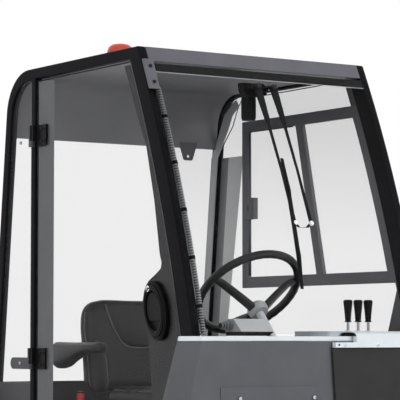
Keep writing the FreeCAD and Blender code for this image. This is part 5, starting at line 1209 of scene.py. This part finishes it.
rings = []
for turn in turns(120):
    # The underside has a finger dimple every 9 degrees.
    dimple = 0.0012 * (1.0 + math.cos(turn * dimple_count))
    rings.append([on_wheel(turn, rim_reach + rim_round * math.cos(around),
                           -(rim_round - (dimple if math.sin(around) < 0 else 0.0))
                           * math.sin(around)) for around in turns(16)])
parts = [lofted(rings, True)]
spoke_rows = ((0.018, 0.092, 0.018, 0.014), (0.040, 0.076, 0.0165, 0.013),
              (0.090, 0.043, 0.0155, 0.012), (0.140, 0.013, 0.015, 0.0115),
              (0.156, 0.005, 0.0145, 0.011), (0.174, 0.001, 0.0135, 0.0105),
              (0.193, 0.0, 0.012, 0.0095))
for angle in (200.0, 340.0, 90.0):
    turn = math.radians(angle)
    outward = side_way * math.cos(turn) + up_way * math.sin(turn)
    aside = axis.cross(outward)
    rings = []
    for reach, drop, half, thick in spoke_rows:
        slope = (axis - outward * 0.62).normalized() if reach < 0.15 else axis
        rings.append([on_wheel(turn, reach, drop) + aside * across + slope * along
                      for across, along in squared(20, half, thick, 3.0)])
    parts.append(lofted(rings))
wheel = make("steering_wheel_moulded", gathered(parts), wheel_foam, "steering", 50.0)
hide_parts("steering_wheel")
hub_top = rim_centre - axis * hub_drop
cap_enamel = sprayed_enamel("satin_silver_cap_enamel", "#b4b6b9", "#c2c4c7", "#dcdee0", 0.3)
make("hub_shroud", turned([(0.0, 0.0), (0.0345, 0.0), (0.0375, -0.004), (0.0375, -0.018),
                           (0.033, -0.030), (0.0, -0.030)], hub_top, axis, 40), cap_enamel,
     "steering")
make("hub_dome", turned([(0.0, 0.017), (0.012, 0.0160), (0.022, 0.0125), (0.029, 0.0070),
                         (0.0315, 0.0), (0.0315, -0.002)], hub_top, axis, 40), cap_enamel,
     "steering", 50.0)
stud_turn = math.pi / dimple_count
studs = [turned([(0.0, 0.0010), (0.0022, 0.0008), (0.0034, 0.0)],
                on_wheel(turn + stud_turn, rim_reach, -rim_round + 0.0002), axis, 8)
         for turn in turns(dimple_count)]
stud_foam = moulded_rubber("worn_wheel_foam", "#4c4d4f", "#58595b", 0.4, 0.4)
make("rim_studs", gathered(studs), stud_foam, "steering", 60.0)
pod_low, pod_high, pod_right, pod_left = 1.132, 1.192, -0.173, -0.036
pod_back, pod_brow, pod_lip, pod_base, lip_height = 0.067, 0.117, 0.165, 1.146, 1.148
pod_moulding = moulded_plastic("pale_grey_pod_moulding", "#d8dbde", "#e0e3e6", "#eceef0",
                               0.4, 4.0, 0.08)
outline = [at(pod_right, s, z) for s, z in ((pod_back, pod_base), (pod_lip, pod_base),
                                            (pod_lip, lip_height), (pod_brow, pod_high),
                                            (pod_back, pod_high))]
pod = make("display_pod", prism(outline, Vector((pod_left - pod_right, 0, 0))), pod_moulding,
           "chassis")
edges = pod.modifiers.new("edges", "BEVEL")
edges.width, edges.segments = 0.003, 3
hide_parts("steering_column")
foot = prism([at(pod_right + 0.002, s, z)
              for s, z in ((pod_back, pod_low), (pod_lip - 0.002, pod_low),
                           (pod_lip + 0.002, pod_base - 0.0005),
                           (pod_back, pod_base - 0.0005))],
             Vector((pod_left - pod_right - 0.004, 0, 0)))
make("display_pod_foot", foot, fitting_moulding, "chassis")
boot_forward, boot_height = 0.094, 1.168
core = turned([(0.0, -0.0005), (0.0130, -0.0005), (0.0090, 0.042), (0.0, 0.042)],
              at(pod_right, boot_forward, boot_height), (-1, 0, 0), 28)
make("stalk_boot_core", core, fitting_moulding, "chassis", 60.0)
# The pleats are drawn pale grey over the black boot core as a painted highlight on their crests.
boot_highlight_rubber = moulded_rubber("pleated_boot_painted_highlight", "#9a9c9f", "#a8aaad", 0.35, 0.5)
boot = []
for step in range(4):
    crest = 0.0215 - 0.0028 * step
    boot.append(turned([(0.009, -0.0030), (crest - 0.001, -0.0018), (crest, 0.0),
                        (crest - 0.001, 0.0018), (0.009, 0.0030)],
                       at(pod_right - 0.0050 - 0.0105 * step, boot_forward, boot_height),
                       (-1, 0, 0), 28))
make("stalk_boot_pleats", gathered(boot), boot_highlight_rubber, "chassis", 60.0)
column = turned([(0.0, 0.0), (0.015, 0.0), (0.015, 0.159), (0.0, 0.159)],
                rim_centre - axis * 0.266, axis, 28)
foot_forward, foot_half, foot_deep = 0.1894, 0.075, 0.055
pedestal = box_at(at(seat_x - foot_half, foot_forward - foot_deep, 0.5205),
                  at(seat_x + foot_half, foot_forward + foot_deep, 1.118))
make("steering_column_tube", column, pod_moulding, "chassis", 30.0)
make("steering_pedestal", pedestal, fitting_moulding, "chassis")


# Levers: three plated rods with black moulded grips, each through a white nylon bush in the hood.
grip_profile = [(0.0, 0.0335), (0.0125, 0.0335), (0.0135, 0.0355), (0.0105, 0.0385),
                (0.0100, 0.0440), (0.0118, 0.0480), (0.0112, 0.0520), (0.0130, 0.0720),
                (0.0158, 0.0960), (0.0170, 0.1050), (0.0160, 0.1110), (0.0110, 0.1140),
                (0.0, 0.1145)]
rod_profile = [(0.0, 0.0), (0.005, 0.0), (0.005, 0.040), (0.0, 0.040)]
bush_profile = [(0.0, -0.0002), (0.010, -0.0002), (0.010, 0.0023), (0.0056, 0.0038), (0.0, 0.0038)]
lever_x, lever_pitch = 0.285, 0.046
feet = [at(lever_x + lever_pitch * place, 0.180, 1.1485) for place in range(3)]
rods, grips, bushes = [gathered([turned(profile, foot, (0, 0, 1), steps) for foot in feet])
                       for profile, steps in ((rod_profile, 16), (grip_profile, 28),
                                              (bush_profile, 24))]
levers = make("lever_grips", grips, fitting_moulding, "chassis", 40.0)
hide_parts("levers")
make("lever_rods", rods, plated, "chassis")
make("lever_bushes", bushes, nylon_white, "chassis", 40.0)


# Beacon: an orange acrylic dome, glossy and fluted inside, on a black rubber ring.
dress(["beacon"], moulded_lens("orange_acrylic_dome", "#b8311a", "#cc451f"), smooth=35.0)
beacon_low, beacon_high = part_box("beacon")
beacon_middle = (beacon_low + beacon_high) / 2.0
base_ring = turned([(0.0552, 0.0), (0.0565, 0.002), (0.0565, 0.013), (0.0552, 0.015)],
                   (beacon_middle.x, beacon_middle.y, beacon_low.z), (0, 0, 1), 48)
make("beacon_base_ring", base_ring, seal_rubber, "chassis")


# Screws and bolts of the hidden side: zinc-plated, on the chassis, covers, brush arms, hopper
# and tailgate.
gate_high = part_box("tailgate")[1]
for side, label in ((-1, "right"), (1, "left")):
    for name, kind, x, forwards, levels, width, body in (
            ("rail_bolts_", hex_screw, 0.5002, (0.38, 0.22, -0.62, -0.75), (0.470,), 0.017,
             "chassis"),
            ("cover_screws_", dome_screw, 0.6002, (0.03, -0.66), (0.20, 0.46), 0.014, "chassis"),
            ("hopper_screws_", dome_screw, 0.6002, (-1.18, -1.58), (0.30, 0.80), 0.014, "hopper"),
            ("arm_bolt_", hex_screw, 0.5302, (0.100,), (0.440,), 0.017, "chassis")):
        fixings(name + label, kind, [at(side * x, s, z) for s in forwards for z in levels],
                (side, 0, 0), width, body)
    fixings("brush_motor_screws_" + label, hex_screw,
            [at(side * 0.480 + 0.036 * math.cos(t), 0.400 + 0.036 * math.sin(t), 0.2972)
             for t in (0.8, 2.4, 3.9, 5.5)], (0, 0, 1), 0.010, "side_arm_" + label)
    fixings("pivot_bolt_" + label, hex_screw, [at(side * 0.5342, -1.560, 0.220)], (side, 0, 0),
            0.019, "chassis")
fixings("bumper_screws", dome_screw, [at(x, 0.5202, 0.47) for x in (-0.3, -0.1, 0.1, 0.3)],
        (0, -1, 0), 0.014, "chassis")
fixings("tailgate_screws", dome_screw,
        [(x, gate_high.y - 0.0228, 0.835) for x in (-0.40, -0.36, 0.36, 0.40)], (0, 1, 0), 0.012,
        "tailgate")


# Studio: a pale floor that takes the machine's shadow and fades into a white surround, lit by
# soft lamps in front, at the side and behind.
floor_half, fade_start, fade_end = 30.0, 1.8, 5.0


def looked_at(tree):
    """1 for what is seen directly, in a reflection or through glass, and 0 for light."""
    path = add(tree, "ShaderNodeLightPath")
    seen = add(tree, "ShaderNodeMath", {0: path.outputs["Is Camera Ray"],
                                        1: path.outputs["Is Glossy Ray"]}, operation="MAXIMUM")
    return add(tree, "ShaderNodeMath", {0: seen.outputs[0],
                                        1: path.outputs["Is Transmission Ray"]},
               operation="MAXIMUM").outputs[0]


def pale_floor():
    """A matt pale floor that turns white far from the machine."""
    material, tree, shader, where = surface("pale_studio_floor", 0.9)
    shader.inputs["Base Color"].default_value = linear("#f2f2f2")
    away = add(tree, "ShaderNodeVectorMath", {0: where}, operation="LENGTH")
    fade = add(tree, "ShaderNodeMapRange",
               {"Value": away.outputs["Value"], "From Min": fade_start, "From Max": fade_end},
               interpolation_type="SMOOTHSTEP")
    share = add(tree, "ShaderNodeMath", {0: fade.outputs["Result"], 1: looked_at(tree)},
                operation="MULTIPLY")
    white = add(tree, "ShaderNodeEmission", {"Color": linear("#ffffff"), "Strength": 1.0})
    mix = add(tree, "ShaderNodeMixShader", {0: share.outputs[0], 1: shader.outputs[0],
                                            2: white.outputs[0]})
    tree.links.new(mix.outputs[0], tree.nodes["Material Output"].inputs["Surface"])
    return material


floor_data = bpy.data.meshes.new("studio_floor")
floor_data.from_pydata([(-floor_half, -floor_half, 0), (floor_half, -floor_half, 0),
                        (floor_half, floor_half, 0), (-floor_half, floor_half, 0)],
                       [], [(0, 1, 2, 3)])
floor_data.materials.append(pale_floor())
floor_piece = bpy.data.objects.new("studio_floor", floor_data)
bpy.context.scene.collection.objects.link(floor_piece)

world = bpy.data.worlds.new("studio_surround")
world.use_nodes = True
tree = world.node_tree
tree.nodes.clear()
soft_light = add(tree, "ShaderNodeBackground", {"Color": linear("#ffffff"), "Strength": 0.55})
white = add(tree, "ShaderNodeBackground", {"Color": linear("#ffffff"), "Strength": 1.0})
mix = add(tree, "ShaderNodeMixShader", {0: looked_at(tree), 1: soft_light.outputs[0],
                                        2: white.outputs[0]})
add(tree, "ShaderNodeOutputWorld", {"Surface": mix.outputs[0]})
bpy.context.scene.world = world


def soft_lamp(name, place, target, width, height, power):
    """A softbox that lights but doesn't show, in a mirror or through glass either."""
    lamp = bpy.data.lights.new(name, "AREA")
    lamp.shape = "RECTANGLE"
    lamp.size = width
    lamp.size_y = height
    lamp.energy = power
    holder = bpy.data.objects.new(name, lamp)
    holder.location = place
    holder.rotation_euler = (Vector(target) - Vector(place)).to_track_quat("-Z", "Y").to_euler()
    holder.visible_glossy = False
    holder.visible_camera = False
    holder.visible_transmission = False
    bpy.context.scene.collection.objects.link(holder)


soft_lamp("front_softbox", (2.5, -6.5, 4.0), (0, -0.4, 1.2), 4.0, 3.0, 270.0)
soft_lamp("side_softbox", (-6.0, -1.0, 3.6), (0, 0, 1.2), 3.0, 3.0, 110.0)
soft_lamp("rear_softbox", (2.0, 6.0, 3.6), (0, 0.4, 1.2), 4.0, 3.0, 130.0)


# Camera: at the photograph's view, near the ground ahead and to the machine's right, with a
# long lens that looks up a little at the cab.
camera_data = bpy.data.cameras.new("photo_camera")
camera_data.sensor_width = 36.0
camera_data.lens = 191.07
camera = bpy.data.objects.new("photo_camera", camera_data)
camera.location = (-4.389, cab_edge_y - 6.315, 1.119)
ahead = Vector((0.5494, 0.8356, math.tan(math.radians(3.76))))
camera.rotation_euler = ahead.to_track_quat("-Z", "Y").to_euler()
bpy.context.scene.collection.objects.link(camera)
bpy.context.scene.camera = camera
bpy.context.scene.view_settings.view_transform = "Standard"
